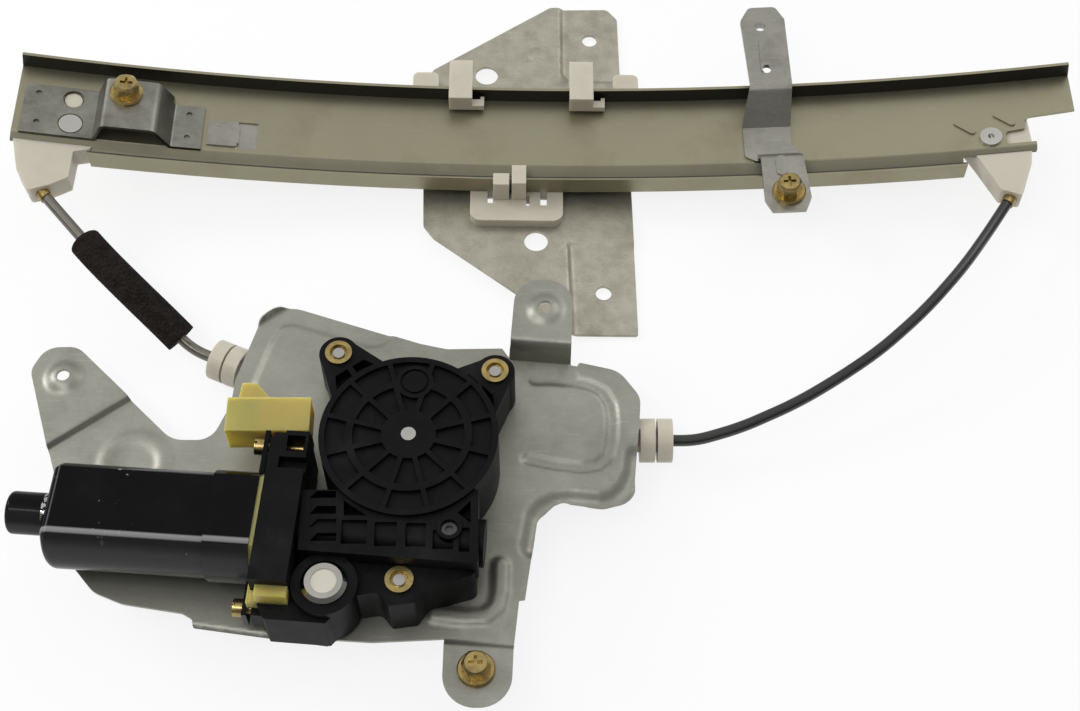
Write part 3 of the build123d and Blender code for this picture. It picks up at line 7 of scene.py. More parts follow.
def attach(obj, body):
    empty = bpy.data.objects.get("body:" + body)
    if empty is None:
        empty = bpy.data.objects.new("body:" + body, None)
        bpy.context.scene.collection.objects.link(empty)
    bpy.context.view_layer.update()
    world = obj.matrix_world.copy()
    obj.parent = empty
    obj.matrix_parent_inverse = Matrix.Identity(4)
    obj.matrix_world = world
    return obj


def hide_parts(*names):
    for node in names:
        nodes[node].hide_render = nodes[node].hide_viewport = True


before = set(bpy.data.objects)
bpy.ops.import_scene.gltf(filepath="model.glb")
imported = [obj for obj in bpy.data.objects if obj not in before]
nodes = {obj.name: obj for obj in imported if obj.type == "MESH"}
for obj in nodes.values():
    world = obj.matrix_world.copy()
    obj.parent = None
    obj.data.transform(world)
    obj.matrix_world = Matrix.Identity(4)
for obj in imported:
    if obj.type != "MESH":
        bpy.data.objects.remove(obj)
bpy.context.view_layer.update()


# Base plate
# Pressed from zinc-coated sheet 1.4 mm thick, with stiffening grooves, two raised tabs, a
# raised arm and coned holes. The coating is cloudy, rubbed and oil stained.

def effect(name, inputs, outputs):
    """An empty shader node group with named sockets, and its two end nodes."""
    tree = bpy.data.node_groups.new(name, "ShaderNodeTree")
    kinds = {"c": "NodeSocketColor", "f": "NodeSocketFloat"}
    for label, kind, value in inputs:
        socket = tree.interface.new_socket(name=label, in_out="INPUT", socket_type=kinds[kind])
        socket.default_value = (*value, 1) if kind == "c" else value
    for label, kind in outputs:
        tree.interface.new_socket(name=label, in_out="OUTPUT", socket_type=kinds[kind])
    return tree, tree.nodes.new("NodeGroupInput"), tree.nodes.new("NodeGroupOutput")


def node(tree, kind, links=(), **values):
    """Adds a shader node, sets its properties and joins (input, output socket) pairs."""
    made = tree.nodes.new("ShaderNode" + kind)
    for key, value in values.items():
        setattr(made, key, value)
    for key, source in links:
        if hasattr(source, "is_output"):
            tree.links.new(source, made.inputs[key])
        else:
            made.inputs[key].default_value = source
    return made


def combined(tree, first, second, operation="MULTIPLY", clamp=False):
    """Combines two values by a Math node."""
    made = node(tree, "Math", [(0, first), (1, second)], operation=operation, use_clamp=clamp)
    return made.outputs[0]


def mixed(tree, share, first, second, blend_type="MIX"):
    """Mixes two colours."""
    made = node(tree, "Mix", [("Factor", share), ("A", first), ("B", second)],
                data_type="RGBA", blend_type=blend_type)
    return made.outputs["Result"]


def ranged(tree, value, start, end, low=0.0, high=1.0):
    """Maps the run of a value from start to end onto low to high, clamped."""
    limits = [("From Min", start), ("From Max", end), ("To Min", low), ("To Max", high)]
    return node(tree, "MapRange", [("Value", value)] + limits).outputs[0]


def greys(tree, value, stops):
    """A colour ramp through (place, grey) stops, from place 0 to place 1."""
    made = node(tree, "ValToRGB", [("Fac", value)])
    for place, _ in stops[1:-1]:
        made.color_ramp.elements.new(place)
    for element, (place, grey) in zip(made.color_ramp.elements, stops):
        element.position = place
        element.color = (grey, grey, grey, 1)
    return made.outputs["Color"]


def spot_along(tree, direction):
    """How far a point lies along a direction, in metres from the origin."""
    place = node(tree, "TexCoord").outputs["Object"]
    made = node(tree, "VectorMath", [(0, place), (1, direction)], operation="DOT_PRODUCT")
    return made.outputs["Value"]


def facing(tree, axis):
    """How far a surface turns towards an axis, from -1 to 1."""
    normal = node(tree, "NewGeometry").outputs["Normal"]
    return node(tree, "SeparateXYZ", [("Vector", normal)]).outputs[axis]


def noise(tree, place, scale, detail, roughness=0.5):
    """A cloudy pattern between 0 and 1."""
    settings = [("Vector", place), ("Scale", scale), ("Detail", detail), ("Roughness", roughness)]
    return node(tree, "TexNoise", settings).outputs["Fac"]


def clouded_finish():
    """Cloudy colour with grain, stains and fine scratches, as on coated or moulded surfaces."""
    tree, start, end = effect("clouded finish", [
        ("Colour", "c", (0.5, 0.5, 0.5)), ("Second Colour", "c", (0.4, 0.4, 0.4)),
        ("Cloud Scale", "f", 60.0), ("Cloud Contrast", "f", 0.5),
        ("Grain Scale", "f", 900.0), ("Grain Strength", "f", 0.3),
        ("Stain Colour", "c", (0.1, 0.08, 0.05)), ("Stain Amount", "f", 0.1),
        ("Stain Scale", "f", 14.0),
        ("Roughness", "f", 0.4), ("Roughness Spread", "f", 0.1), ("Scratch Amount", "f", 0.0)],
        [("Color", "c"), ("Roughness", "f"), ("Height", "f")])
    place = node(tree, "TexCoord").outputs["Object"]
    asked = start.outputs
    cloud = noise(tree, place, asked["Cloud Scale"], detail=5.0, roughness=0.6)
    grain = noise(tree, place, asked["Grain Scale"], detail=3.0)
    spots = noise(tree, place, asked["Stain Scale"], detail=8.0, roughness=0.65)
    speck = combined(tree, combined(tree, grain, 0.5, "SUBTRACT"), asked["Grain Strength"])
    lines = node(tree, "Mapping", [("Vector", place), ("Rotation", (0.2, 0.1, 0.6)),
                                   ("Scale", (1.0, 26.0, 1.0))]).outputs[0]
    rub = ranged(tree, noise(tree, lines, scale=70.0, detail=3.0), start=0.62, end=0.72)
    rub = combined(tree, rub, asked["Scratch Amount"])
    widened = combined(tree, ranged(tree, cloud, start=0.35, end=0.65), asked["Cloud Contrast"])
    blend = combined(tree, widened, speck, "ADD", clamp=True)
    base = mixed(tree, blend, asked["Colour"], asked["Second Colour"])
    dirty = ranged(tree, spots, start=0.52, end=0.72)
    dirty = combined(tree, dirty, asked["Stain Amount"], clamp=True)
    stained = mixed(tree, dirty, base, asked["Stain Colour"])
    bright = mixed(tree, rub, stained, (1, 1, 1, 1))
    spread = combined(tree, cloud, 0.5, "SUBTRACT")
    rough = node(tree, "Math", [(0, spread), (1, asked["Roughness Spread"]),
                                (2, asked["Roughness"])], operation="MULTIPLY_ADD")
    tree.links.new(bright, end.inputs["Color"])
    tree.links.new(rough.outputs[0], end.inputs["Roughness"])
    tree.links.new(grain, end.inputs["Height"])
    return tree


clouded = clouded_finish()


def surface(name, metallic=0.0, bump=0.0, relief=0.0004, shader=(), **clouds):
    """A material whose colour, roughness and grain come from the clouded finish."""
    made = bpy.data.materials.new(name)
    made.use_nodes = True
    tree = made.node_tree
    body = tree.nodes["Principled BSDF"]
    group = tree.nodes.new("ShaderNodeGroup")
    group.node_tree = clouded
    group.name = "finish"
    for key, value in clouds.items():
        label = key.replace("_", " ").title()
        group.inputs[label].default_value = (*value, 1) if isinstance(value, tuple) else value
    tree.links.new(group.outputs["Color"], body.inputs["Base Color"])
    tree.links.new(group.outputs["Roughness"], body.inputs["Roughness"])
    body.inputs["Metallic"].default_value = metallic
    if bump:
        dent = node(tree, "Bump", [("Height", group.outputs["Height"]), ("Strength", bump),
                                   ("Distance", relief)])
        tree.links.new(dent.outputs["Normal"], body.inputs["Normal"])
    for key, value in shader:
        body.inputs[key].default_value = value
    return made


def translucent(weight, radius):
    """The shader values of a plastic that light passes a little way into."""
    return [("Subsurface Weight", weight), ("Subsurface Radius", radius), ("Subsurface Scale", 1.0)]


def soften(piece, edge, angle, segments):
    """Rounds a piece's sharp edges."""
    rounding = piece.modifiers.new("rounded edges", "BEVEL")
    rounding.width = edge
    rounding.segments = segments
    rounding.limit_method = "ANGLE"
    rounding.angle_limit = math.radians(angle)
    rounding.harden_normals = True
    rounding.use_clamp_overlap = True


def wear(name, material, edge=0.0, angle=40, segments=2):
    """Gives a modelled node its material and rounds its sharp edges."""
    piece = nodes[name]
    piece.data.materials.clear()
    piece.data.materials.append(material)
    piece.data.shade_smooth()
    piece.data.set_sharp_from_angle(angle=math.radians(angle))
    if edge:
        soften(piece, edge, angle, segments)


def inside(points, loop):
    """Which of the plan points lie inside a closed loop."""
    found = np.zeros(len(points), bool)
    x, y = points[:, 0], points[:, 1]
    for (x0, y0), (x1, y1) in zip(loop, loop[1:] + loop[:1]):
        if y0 != y1:
            found ^= ((y0 > y) != (y1 > y)) & (x < (x1 - x0) * (y - y0) / (y1 - y0) + x0)
    return found


def away(points, line):
    """The distance of each plan point from a line."""
    nearest = np.full(len(points), 1e9)
    line = np.asarray(line, float)
    for a, b in zip(line[:-1], line[1:]):
        run = b - a
        t = np.clip(((points - a) @ run) / (run @ run), 0, 1)
        gap = points - a - t[:, None] * run
        nearest = np.minimum(nearest, np.hypot(gap[:, 0], gap[:, 1]))
    return nearest


def past(points, fold):
    """How far each plan point lies to the left of a straight fold."""
    (x0, y0), (x1, y1) = fold
    run, rise = x1 - x0, y1 - y0
    return (run * (points[:, 1] - y0) - rise * (points[:, 0] - x0)) / math.hypot(run, rise)


def eased(values, low, high):
    """Rises smoothly from 0 at low to 1 at high."""
    t = np.clip((values - low) / (high - low), 0, 1)
    return t * t * (3 - 2 * t)


STEP = 1.1
CORNER_R = 0.4


def finely(loop):
    """Divides a closed loop's long runs."""
    points = []
    for a, b in zip(loop, loop[1:] + loop[:1]):
        count = max(1, math.ceil(math.dist(a, b) / STEP))
        points += [(a[0] + (b[0] - a[0]) * i / count, a[1] + (b[1] - a[1]) * i / count)
                   for i in range(count)]
    return points


def rounded(corners):
    """The loop of a sheet's outline from (x, y) or (x, y, radius) corners."""
    loop = []
    befores, afters = corners[-1:] + corners[:-1], corners[1:] + corners[:1]
    for before, corner, after in zip(befores, corners, afters):
        at = Vector(corner[:2])
        back = (Vector(before[:2]) - at).normalized()
        on = (Vector(after[:2]) - at).normalized()
        radius = corner[2] if len(corner) > 2 else CORNER_R
        half = back.angle(on) / 2
        middle = at + (back + on).normalized() * radius / math.sin(half)
        first = at + back * radius / math.tan(half) - middle
        turn = first.angle_signed(at + on * radius / math.tan(half) - middle)
        count = max(2, math.ceil(abs(turn) * radius / STEP))
        for i in range(count + 1):
            spot = middle + Matrix.Rotation(-turn * i / count, 2) @ first
            loop.append((spot.x, spot.y))
    return finely(loop)


HOLE_SIDES = 24
CELL = 1.3
SLIVER = 0.01


def pressing(name, node_name, material, corners, holes, folds, height, thickness, place=None):
    """A sheet pressing in place of a modelled node: its plan in millimetres, holes of
    (x, y, radius) or (x0, x1, y0, y1), and the height of its front face over the plan.
    Mesh rows follow the folds."""
    outer = rounded(corners)
    rings = []
    for hole in holes:
        if len(hole) == 3:
            x, y, r = hole
            turns = [i * math.tau / HOLE_SIDES for i in range(HOLE_SIDES)]
            rings.append([(x + r * math.cos(a), y + r * math.sin(a)) for a in turns])
        else:
            x0, x1, y0, y1 = hole
            rings.append(finely([(x0, y0), (x1, y0), (x1, y1), (x0, y1)]))
    spots, edges = [], []
    for loop in [outer] + rings:
        start = len(spots)
        spots += loop
        edges += [(start + i, start + (i + 1) % len(loop)) for i in range(len(loop))]
    (x0, y0), (x1, y1) = np.min(outer, axis=0), np.max(outer, axis=0)
    row_gap, edge_gap = 0.87 * CELL, 0.45 * CELL
    grid = np.array([(x + (row % 2) * CELL / 2, y)
                     for row, y in enumerate(np.arange(y0, y1, row_gap))
                     for x in np.arange(x0, x1, CELL)])
    for line, offsets in folds:
        run = Vector(line[1]) - Vector(line[0])
        side = Vector((-run.y, run.x)).normalized()
        count = max(2, round(run.length))
        rows = [Vector(line[0]) + run * i / count + side * gap
                for gap in offsets for i in range(count + 1)]
        near = away(grid, line) < max(abs(gap) for gap in offsets) + CELL / 2
        grid = np.concatenate([grid[~near], np.array([tuple(p) for p in rows])])
    keep = inside(grid, outer) & (away(grid, outer + outer[:1]) > edge_gap)
    for ring in rings:
        keep &= ~inside(grid, ring) & (away(grid, ring + ring[:1]) > edge_gap)
    spots += [tuple(p) for p in grid[keep]]
    made = geometry.delaunay_2d_cdt([Vector(p) for p in spots], edges, [], 0, 1e-4)
    plan = np.array([tuple(p) for p in made[0]])
    faces = np.array(made[2])
    centres = plan[faces].mean(axis=1)
    (ax, ay) = (plan[faces[:, 1]] - plan[faces[:, 0]]).T
    (bx, by) = (plan[faces[:, 2]] - plan[faces[:, 0]]).T
    real = inside(centres, outer) & (np.abs(ax * by - ay * bx) > SLIVER)
    for ring in rings:
        real &= ~inside(centres, ring)
    mesh = bpy.data.meshes.new(name)
    points = np.column_stack([plan, height(plan)]) / 1000
    mesh.from_pydata(points.tolist(), [], faces[real].tolist())
    if place:
        mesh.transform(place)
    mesh.materials.append(material)
    mesh.shade_smooth()
    piece = bpy.data.objects.new(name, mesh)
    bpy.context.scene.collection.objects.link(piece)
    sheet = piece.modifiers.new("sheet", "SOLIDIFY")
    sheet.thickness = thickness / 1000
    sheet.offset = -1.0
    sheet.use_even_offset = False
    soften(piece, edge=0.00025, angle=55, segments=2)
    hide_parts(node_name)
    return piece


PLATE_OUTLINE = [
    (-149.7, 1.4), (-153.2, 11.1), (-165.2, 47.5, 8), (-160.0, 59.0, 9), (-146.5, 59.3, 9),
    (-101.9, 15.2, 12), (-85.5, 15.2, 9), (-79.0, 31.5, 12), (-78.0, 45.6, 4), (-66.5, 85.9, 15),
    (0.6, 62.7, 10), (12.4, 59.9, 8), (36.2, 60.3, 1), (39.9, 54.6), (42.2, 87.0, 12),
    (67.2, 87.0, 12), (65.8, 51.8), (68.6, 51.2), (69.4, 53.2, 1), (86.5, 49.0, 12),
    (95.4, 36.0, 10), (94.9, 27.7), (91.2, -11.5, 9), (78.5, -15.3, 8), (60.0, -12.2, 8),
    (51.6, -20.5, 5), (46.6, -57.2), (44.3, -57.4), (42.4, -76.4), (41.4, -103.0, 13),
    (14.5, -103.0, 13), (14.9, -74.0), (-13.5, -75.4, 8), (-28.0, -74.5, 2), (-30.5, -76.9, 1),
    (-84.7, -69.1, 1), (-85.2, -65.6, 2), (-89.5, -63.1, 3), (-113.8, -59.1, 14),
    (-126.0, -54.0, 12), (-138.0, -40.0, 10)]
PLATE_FRONT = 23.4
PLATE_THICK = 1.4
TAB_HOLE = (54.8, 71.4)
ARM_HOLE = (-150.3, 43.8)
PLATE_HOLES = [(*TAB_HOLE, 3.25), (*ARM_HOLE, 2.75), (27.8, -88.0, 4.15), (0, 0, 9.0),
               (-31.3, 43.7, 2.5), (34.0, 34.9, 2.5), (-1.9, -59.3, 2.5)]
ARM_FOLD = ((-152.6, 9.9), (-120.5, 34.0))
TAB_FOLD = ((39.4, 54.3), (66.4, 51.8))
FOOT_FOLD = ((42.4, -76.9), (14.9, -74.4))
LEFT_BORDER = [(-78.8, 38.0), (-78.0, 45.6), (-72.0, 66.5), (-67.0, 76.9), (-62.4, 80.1),
               (-56.0, 81.4), (-50.4, 80.3), (-20.0, 69.8)]
RIGHT_BORDER = [(93.0, 8.0), (92.0, 0.0), (88.9, -7.5), (83.9, -12.5), (78.1, -14.7), (64.9, -13.3),
                (59.2, -13.9), (54.2, -16.7), (51.6, -20.5), (49.4, -34.0)]
GROOVE = [(50.6, 44.8), (57.7, 44.9), (67.1, 43.9), (74.0, 42.2), (79.5, 38.9), (82.7, 32.5),
          (83.4, 24.8), (82.8, 15.1), (81.0, 7.5), (76.7, 3.3), (70.1, 2.3), (59.3, 3.7),
          (47.6, 6.3)]
CORNER_RIB = [(37.0, -42.5), (36.9, -54.0), (35.6, -60.6), (31.0, -64.6), (23.2, -65.2),
              (11.2, -63.7)]
DOME_SPOT = (-116.3, 4.0)
DOME_R = 12.2
DOME_RISE = 0.9
DOME_REACH = (5.0, 0.5)
ARM_RISE = 3.0
ARM_REACH = (-0.4, 2.6)
FOOT_RISE = 2.5
FOOT_REACH = (0.0, 2.6)
TAB_RISE = ([0.0, 0.5, 1.3, 2.2, 3.6, 5.4], [0.0, 1.0, 9.6, 12.0, 13.2, 13.6])
TAB_SIDES = (39.6, 67.6)
FOOT_CORNER = (12.0, -70.0)
EDGE_SLOPE = 0.142
EDGE_REACH = (-80.0, -81.1)
EDGE_END = -30.9

# Each rib or cone: its line or centre, its rise, and how far from it the rise starts and is full.
PLATE_RIBS = [(LEFT_BORDER, -1.3, 10.4, 6.8), (RIGHT_BORDER, -3.2, 6.5, 0.5),
              (GROOVE, -1.3, 3.6, 1.2), (CORNER_RIB, 1.5, 4.6, 1.6)]
PLATE_CONES = [(ARM_HOLE, 2.4, 9.5, 3.2), (TAB_HOLE, 2.2, 9.5, 3.6)]


def around(points, centre):
    """The distance of each plan point from a centre."""
    return np.hypot(points[:, 0] - centre[0], points[:, 1] - centre[1])


def plate_height(p):
    """The pressed height of the base plate's front face."""
    x, y = p[:, 0], p[:, 1]
    z = PLATE_FRONT + ARM_RISE * eased(past(p, ARM_FOLD), *ARM_REACH)
    for line, rise, start, full in PLATE_RIBS:
        z += rise * eased(away(p, line), start, full)
    for centre, rise, start, full in PLATE_CONES:
        z += rise * eased(around(p, centre), start, full)
    z += DOME_RISE * eased(np.abs(around(p, DOME_SPOT) - DOME_R), *DOME_REACH)
    on_tab = (x > TAB_SIDES[0]) & (x < TAB_SIDES[1])
    z += np.where(on_tab, np.interp(past(p, TAB_FOLD), *TAB_RISE), 0)
    on_foot = (x > FOOT_CORNER[0]) & (y < FOOT_CORNER[1])
    z += FOOT_RISE * eased(past(p, FOOT_FOLD), *FOOT_REACH) * on_foot
    return z - PLATE_THICK * eased(y + EDGE_SLOPE * x, *EDGE_REACH) * (x < EDGE_END)


zinc_sheet = surface("zinc coated sheet", metallic=0.85, bump=0.12, colour=(0.335, 0.33, 0.285),
                     second_colour=(0.265, 0.262, 0.228), cloud_scale=42.0, cloud_contrast=0.8,
                     grain_scale=620.0, grain_strength=0.6, stain_colour=(0.12, 0.11, 0.085),
                     stain_amount=0.4, stain_scale=15.0, roughness=0.44, roughness_spread=0.3,
                     scratch_amount=0.08)
base_plate = pressing(
    "pressed_base_plate", "base_plate", zinc_sheet, PLATE_OUTLINE, PLATE_HOLES,
    [(ARM_FOLD, (-1.2, -0.4, 0.6, 1.6, 2.6, 3.6)),
     (TAB_FOLD, (-0.8, 0.0, 0.5, 0.9, 1.3, 1.8, 2.4, 3.2, 4.2, 5.4)),
     (FOOT_FOLD, (-0.8, 0.0, 0.9, 1.7, 2.6, 3.5))],
    plate_height, PLATE_THICK)
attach(base_plate, "frame")


# Drum housing, its cover and the drum
# The housing and its cover are moulded in black glass-filled nylon, behind the plate.
# The drum turns inside them; it is natural acetal, with the steel cable wound in its groove.

black_nylon = surface("black nylon", bump=0.12, colour=(0.003, 0.003, 0.0034),
                      second_colour=(0.006, 0.006, 0.0065), cloud_scale=90.0, cloud_contrast=0.6,
                      grain_scale=1500.0, grain_strength=0.5, stain_colour=(0.04, 0.038, 0.034),
                      stain_amount=0.25, stain_scale=30.0, roughness=0.46, roughness_spread=0.2,
                      shader=[("Specular IOR Level", 0.09)])
acetal = surface("natural acetal", colour=(0.60, 0.57, 0.49), second_colour=(0.52, 0.49, 0.41),
                 cloud_scale=40.0, cloud_contrast=0.5, grain_scale=700.0, grain_strength=0.2,
                 stain_amount=0.12, roughness=0.38,
                 shader=translucent(0.25, (0.004, 0.003, 0.002)))
wire = surface("steel wire", metallic=1.0, colour=(0.32, 0.31, 0.29),
               second_colour=(0.2, 0.19, 0.18), grain_scale=1800.0, grain_strength=0.8,
               roughness=0.38)
for name in ("drum_housing", "drum_cover"):
    wear(name, black_nylon, edge=0.0004)
wear("cable_drum", acetal, edge=0.0002)
wear("wound_cable", wire)


# Gear case
# One ribbed black nylon moulding over the worm wheel, closed by a flat cover. The wheel is
# natural acetal, and drives a turned steel hub through a rubber damper.

wear("gear_housing", black_nylon, edge=0.00035)
wear("gear_cover", black_nylon, edge=0.0003)
wear("worm_wheel", acetal, edge=0.0001)
bare_steel = surface("turned steel", metallic=1.0, colour=(0.42, 0.41, 0.39),
                     second_colour=(0.34, 0.33, 0.31), roughness=0.3, grain_strength=0.3)
soft_rubber = surface("black rubber", colour=(0.012, 0.012, 0.012),
                      second_colour=(0.02, 0.02, 0.02), roughness=0.7)
white_pin = surface("bright pin", metallic=1.0, colour=(0.50, 0.49, 0.46),
                    second_colour=(0.36, 0.355, 0.33), roughness=0.25)
wear("drive_damper", soft_rubber)
wear("output_hub", bare_steel, edge=0.0002)
wear("wheel_pin", white_pin, edge=0.0003)


# Studs, collars, vent cap and screws of the gear case
# Steel studs pressed in the plate, yellow-passivated collars and yoke screws, a chromed cap
# with a white plug over the vent, and a dark self-tapping screw in the case.

yellow_zinc = surface("yellow passivated zinc", metallic=1.0, bump=0.1, colour=(0.46, 0.34, 0.13),
                      second_colour=(0.26, 0.20, 0.09), cloud_scale=260.0, cloud_contrast=0.9,
                      grain_scale=1600.0, grain_strength=0.6, stain_colour=(0.12, 0.09, 0.05),
                      stain_amount=0.6, stain_scale=150.0, roughness=0.28, roughness_spread=0.2)
chrome = surface("chromed cap", metallic=1.0, colour=(0.46, 0.445, 0.41),
                 second_colour=(0.34, 0.33, 0.30), roughness=0.12, roughness_spread=0.08)
white_plug = surface("white plug", colour=(0.60, 0.57, 0.49), second_colour=(0.54, 0.5, 0.43),
                     roughness=0.5)
dark_screw = surface("dark screw steel", metallic=1.0, colour=(0.09, 0.085, 0.08),
                     second_colour=(0.05, 0.05, 0.05), roughness=0.4)
wear("fixing_studs", bare_steel, edge=0.0003)
wear("fixing_collars", yellow_zinc, edge=0.0004)
wear("vent_cap", chrome, edge=0.0004, segments=3)
wear("vent_plug", white_plug, edge=0.0004)
wear("case_screw", dark_screw, edge=0.0002)
wear("yoke_screws", yellow_zinc, edge=0.0003)


# Motor
# A deep-drawn steel yoke in glossy black paint, chipped to bright steel at its rear rim,
# over ferrite magnets and a wound armature. The brushes sit on an ivory nylon card.

MOTOR_TURN = math.radians(-4.2)
MOTOR_AXIS = (math.cos(MOTOR_TURN), math.sin(MOTOR_TURN), 0.0)
MOTOR_SIDE = (-math.sin(MOTOR_TURN), math.cos(MOTOR_TURN), 0.0)
RIM_PLACE = (-0.1338, -0.1385)
BOSS_PLACE = (-0.1408, -0.1412)
FOLD_HIGHLIGHT_PLACE = (-0.0545, -0.0515)


def chipped(tree, colour, amount):
    """Mixes bare steel into a colour in small flakes; gives the new colour and the flakes."""
    place = node(tree, "TexCoord").outputs["Object"]
    flakes = noise(tree, place, scale=330.0, detail=6.0, roughness=0.7)
    patches = noise(tree, place, scale=38.0, detail=2.0)
    both = combined(tree, flakes, patches, "ADD")
    bare = ranged(tree, combined(tree, both, amount, "ADD"), start=1.28, end=1.31)
    return mixed(tree, bare, colour, (0.5, 0.49, 0.46, 1)), bare


yoke_paint = surface("black yoke paint", bump=0.05, colour=(0.003, 0.003, 0.0032),
                     second_colour=(0.006, 0.006, 0.006), cloud_scale=50.0, grain_scale=260.0,
                     grain_strength=0.2, stain_colour=(0.05, 0.05, 0.048), stain_amount=0.08,
                     stain_scale=26.0, roughness=0.15, roughness_spread=0.1,
                     shader=[("Specular IOR Level", 0.07)])
tree = yoke_paint.node_tree
body = tree.nodes["Principled BSDF"]
# Painted sheen: the paint colour is lightened where the surface turns towards the front (-Y),
# standing in for the reflection on the yoke's rounded side.
painted_side_sheen = greys(tree, ranged(tree, facing(tree, "Y"), start=0.0, end=-1.0),
              [(0.0, 0.0), (0.50, 0.010), (0.76, 0.016), (0.90, 0.045), (1.0, 0.05)])
# Painted highlight: a light band along the fold between the flat top and the rounded side, where
# the lamp's reflection runs. Both painted marks are added to the paint colour.
painted_fold_highlight = greys(tree, ranged(tree, spot_along(tree, MOTOR_SIDE), *FOLD_HIGHLIGHT_PLACE),
               [(0.0, 0.0), (0.22, 0.17), (0.75, 0.24), (1.0, 0.0)])
paint = mixed(tree, 1.0, tree.nodes["finish"].outputs["Color"], painted_side_sheen, "ADD")
paint = mixed(tree, 1.0, paint, painted_fold_highlight, "ADD")
rear = spot_along(tree, MOTOR_AXIS)
rim = ranged(tree, rear, *RIM_PLACE, low=-0.03, high=0.27)
boss = ranged(tree, rear, *BOSS_PLACE, low=0.0, high=0.33)
chips, bare = chipped(tree, paint, combined(tree, rim, boss, "SUBTRACT"))
tree.links.new(chips, body.inputs["Base Color"])
tree.links.new(bare, body.inputs["Metallic"])
wear("motor_yoke", yoke_paint, edge=0.0014, angle=22, segments=4)

ferrite = surface("ferrite", colour=(0.03, 0.03, 0.032), second_colour=(0.05, 0.05, 0.05),
                  roughness=0.6)
lamination = surface("laminated steel", metallic=1.0, colour=(0.25, 0.24, 0.22),
                     second_colour=(0.18, 0.17, 0.16), roughness=0.42)
copper = surface("enamelled copper", metallic=1.0, colour=(0.55, 0.24, 0.10),
                 second_colour=(0.42, 0.17, 0.07), grain_strength=0.8, roughness=0.32)
bronze = surface("sintered bronze", metallic=1.0, colour=(0.38, 0.25, 0.12),
                 second_colour=(0.3, 0.19, 0.1), roughness=0.5)
carbon = surface("brush carbon", colour=(0.02, 0.02, 0.02), second_colour=(0.035, 0.035, 0.035),
                 roughness=0.55)
ivory = surface("ivory nylon", bump=0.06, colour=(0.42, 0.34, 0.085),
                second_colour=(0.36, 0.285, 0.065), cloud_scale=30.0, cloud_contrast=0.7,
                grain_scale=900.0, grain_strength=0.15, stain_colour=(0.2, 0.15, 0.06),
                stain_amount=0.12, stain_scale=40.0, roughness=0.42,
                shader=translucent(0.8, (0.020, 0.014, 0.004)))
for name, material, edge in (
        ("field_magnets", ferrite, 0.0003), ("armature_core", lamination, 0.0),
        ("armature_windings", copper, 0.001), ("commutator", copper, 0.0002),
        ("worm_shaft", bare_steel, 0.0002), ("shaft_bearings", bronze, 0.0002),
        ("brush_card", ivory, 0.0002), ("carbon_brushes", carbon, 0.0002),
        ("brush_springs", bare_steel, 0.0)):
    wear(name, material, edge)


# Connector
# An ivory nylon socket with a latch tab, on the brush card's side of the gear case. Its
# terminals are tinned brass blades.

wear("connector_housing", ivory, edge=0.0009, segments=3)
tinned = surface("tinned brass", metallic=1.0, colour=(0.7, 0.66, 0.55),
                 second_colour=(0.6, 0.55, 0.42), roughness=0.25)
wear("connector_terminals", tinned, edge=0.0001)


# Guide rail and what is welded to it
# Rolled from zinc-coated strip with an olive passivation. The bracket, straps and clip are
# plain zinc-coated pressings, spot welded on; the mounting bolts are yellow passivated.

# Places on the rail where its colour is painted near black for shade: the upper flange's inner
# face, and the bead's slope with the crease under it.
FLANGE_PLACE = (0.190, 0.195)
BEAD_PLACE = (0.150, 0.170)
BEAD_SHADE = [(0.0, 0.0), (0.24, 0.0), (0.265, 0.93), (0.37, 0.93), (0.40, 0.62), (0.76, 0.42),
               (0.80, 0.0), (1.0, 0.0)]

rail_zinc = surface("olive passivated strip", metallic=0.9, bump=0.06, colour=(0.305, 0.288, 0.200),
                    second_colour=(0.285, 0.268, 0.185), cloud_scale=22.0, cloud_contrast=0.7,
                    grain_scale=900.0, grain_strength=0.25, stain_colour=(0.15, 0.11, 0.05),
                    stain_amount=0.25, stain_scale=30.0, roughness=0.42, roughness_spread=0.12,
                    scratch_amount=0.03)
strap_zinc = surface("strap zinc", metallic=1.0, bump=0.15, colour=(0.34, 0.33, 0.29),
                     second_colour=(0.26, 0.255, 0.225), cloud_scale=70.0, cloud_contrast=0.8,
                     grain_scale=700.0, grain_strength=0.5, stain_colour=(0.10, 0.09, 0.07),
                     stain_amount=0.4, stain_scale=45.0, roughness=0.36, roughness_spread=0.25,
                     scratch_amount=0.12)
tree = rail_zinc.node_tree
# Painted shade: faces of the upper flange that turn down, and a band across the bead and its
# crease, are mixed towards near black.
across = spot_along(tree, (0.0, 1.0, 0.0))
downward = ranged(tree, facing(tree, "Y"), start=-0.75, end=-0.95)
flange_shade = combined(tree, downward, ranged(tree, across, *FLANGE_PLACE))
bead_shade = greys(tree, ranged(tree, across, *BEAD_PLACE), BEAD_SHADE)
painted_shade = combined(tree, flange_shade, bead_shade, "MAXIMUM")
shaded_strip_colour = mixed(tree, painted_shade, tree.nodes["finish"].outputs["Color"], (0.040, 0.039, 0.035, 1))
tree.links.new(shaded_strip_colour, tree.nodes["Principled BSDF"].inputs["Base Color"])
wear("guide_rail", rail_zinc, edge=0.0003)
hat_zinc = surface("bracket zinc", metallic=1.0, bump=0.15, colour=(0.28, 0.275, 0.238),
                   second_colour=(0.17, 0.165, 0.143), cloud_scale=70.0, cloud_contrast=0.8,
                   grain_scale=700.0, grain_strength=0.5, stain_colour=(0.06, 0.055, 0.045),
                   stain_amount=0.5, stain_scale=45.0, roughness=0.4, roughness_spread=0.2,
                   scratch_amount=0.08)
wear("rail_left_bracket", hat_zinc, edge=0.0004)
for name in ("rail_strap_upper", "rail_strap_lower", "rail_stop_clip"):
    wear(name, strap_zinc, edge=0.0004)
wear("mounting_bolts", yellow_zinc, edge=0.0003)
wear("guide_rivets", white_pin, edge=0.0005, segments=3)


# Cable guides and conduit caps
# Slightly translucent mouldings in natural nylon. The guides are riveted to the rail's ends,
# and the caps hold the conduits in them.

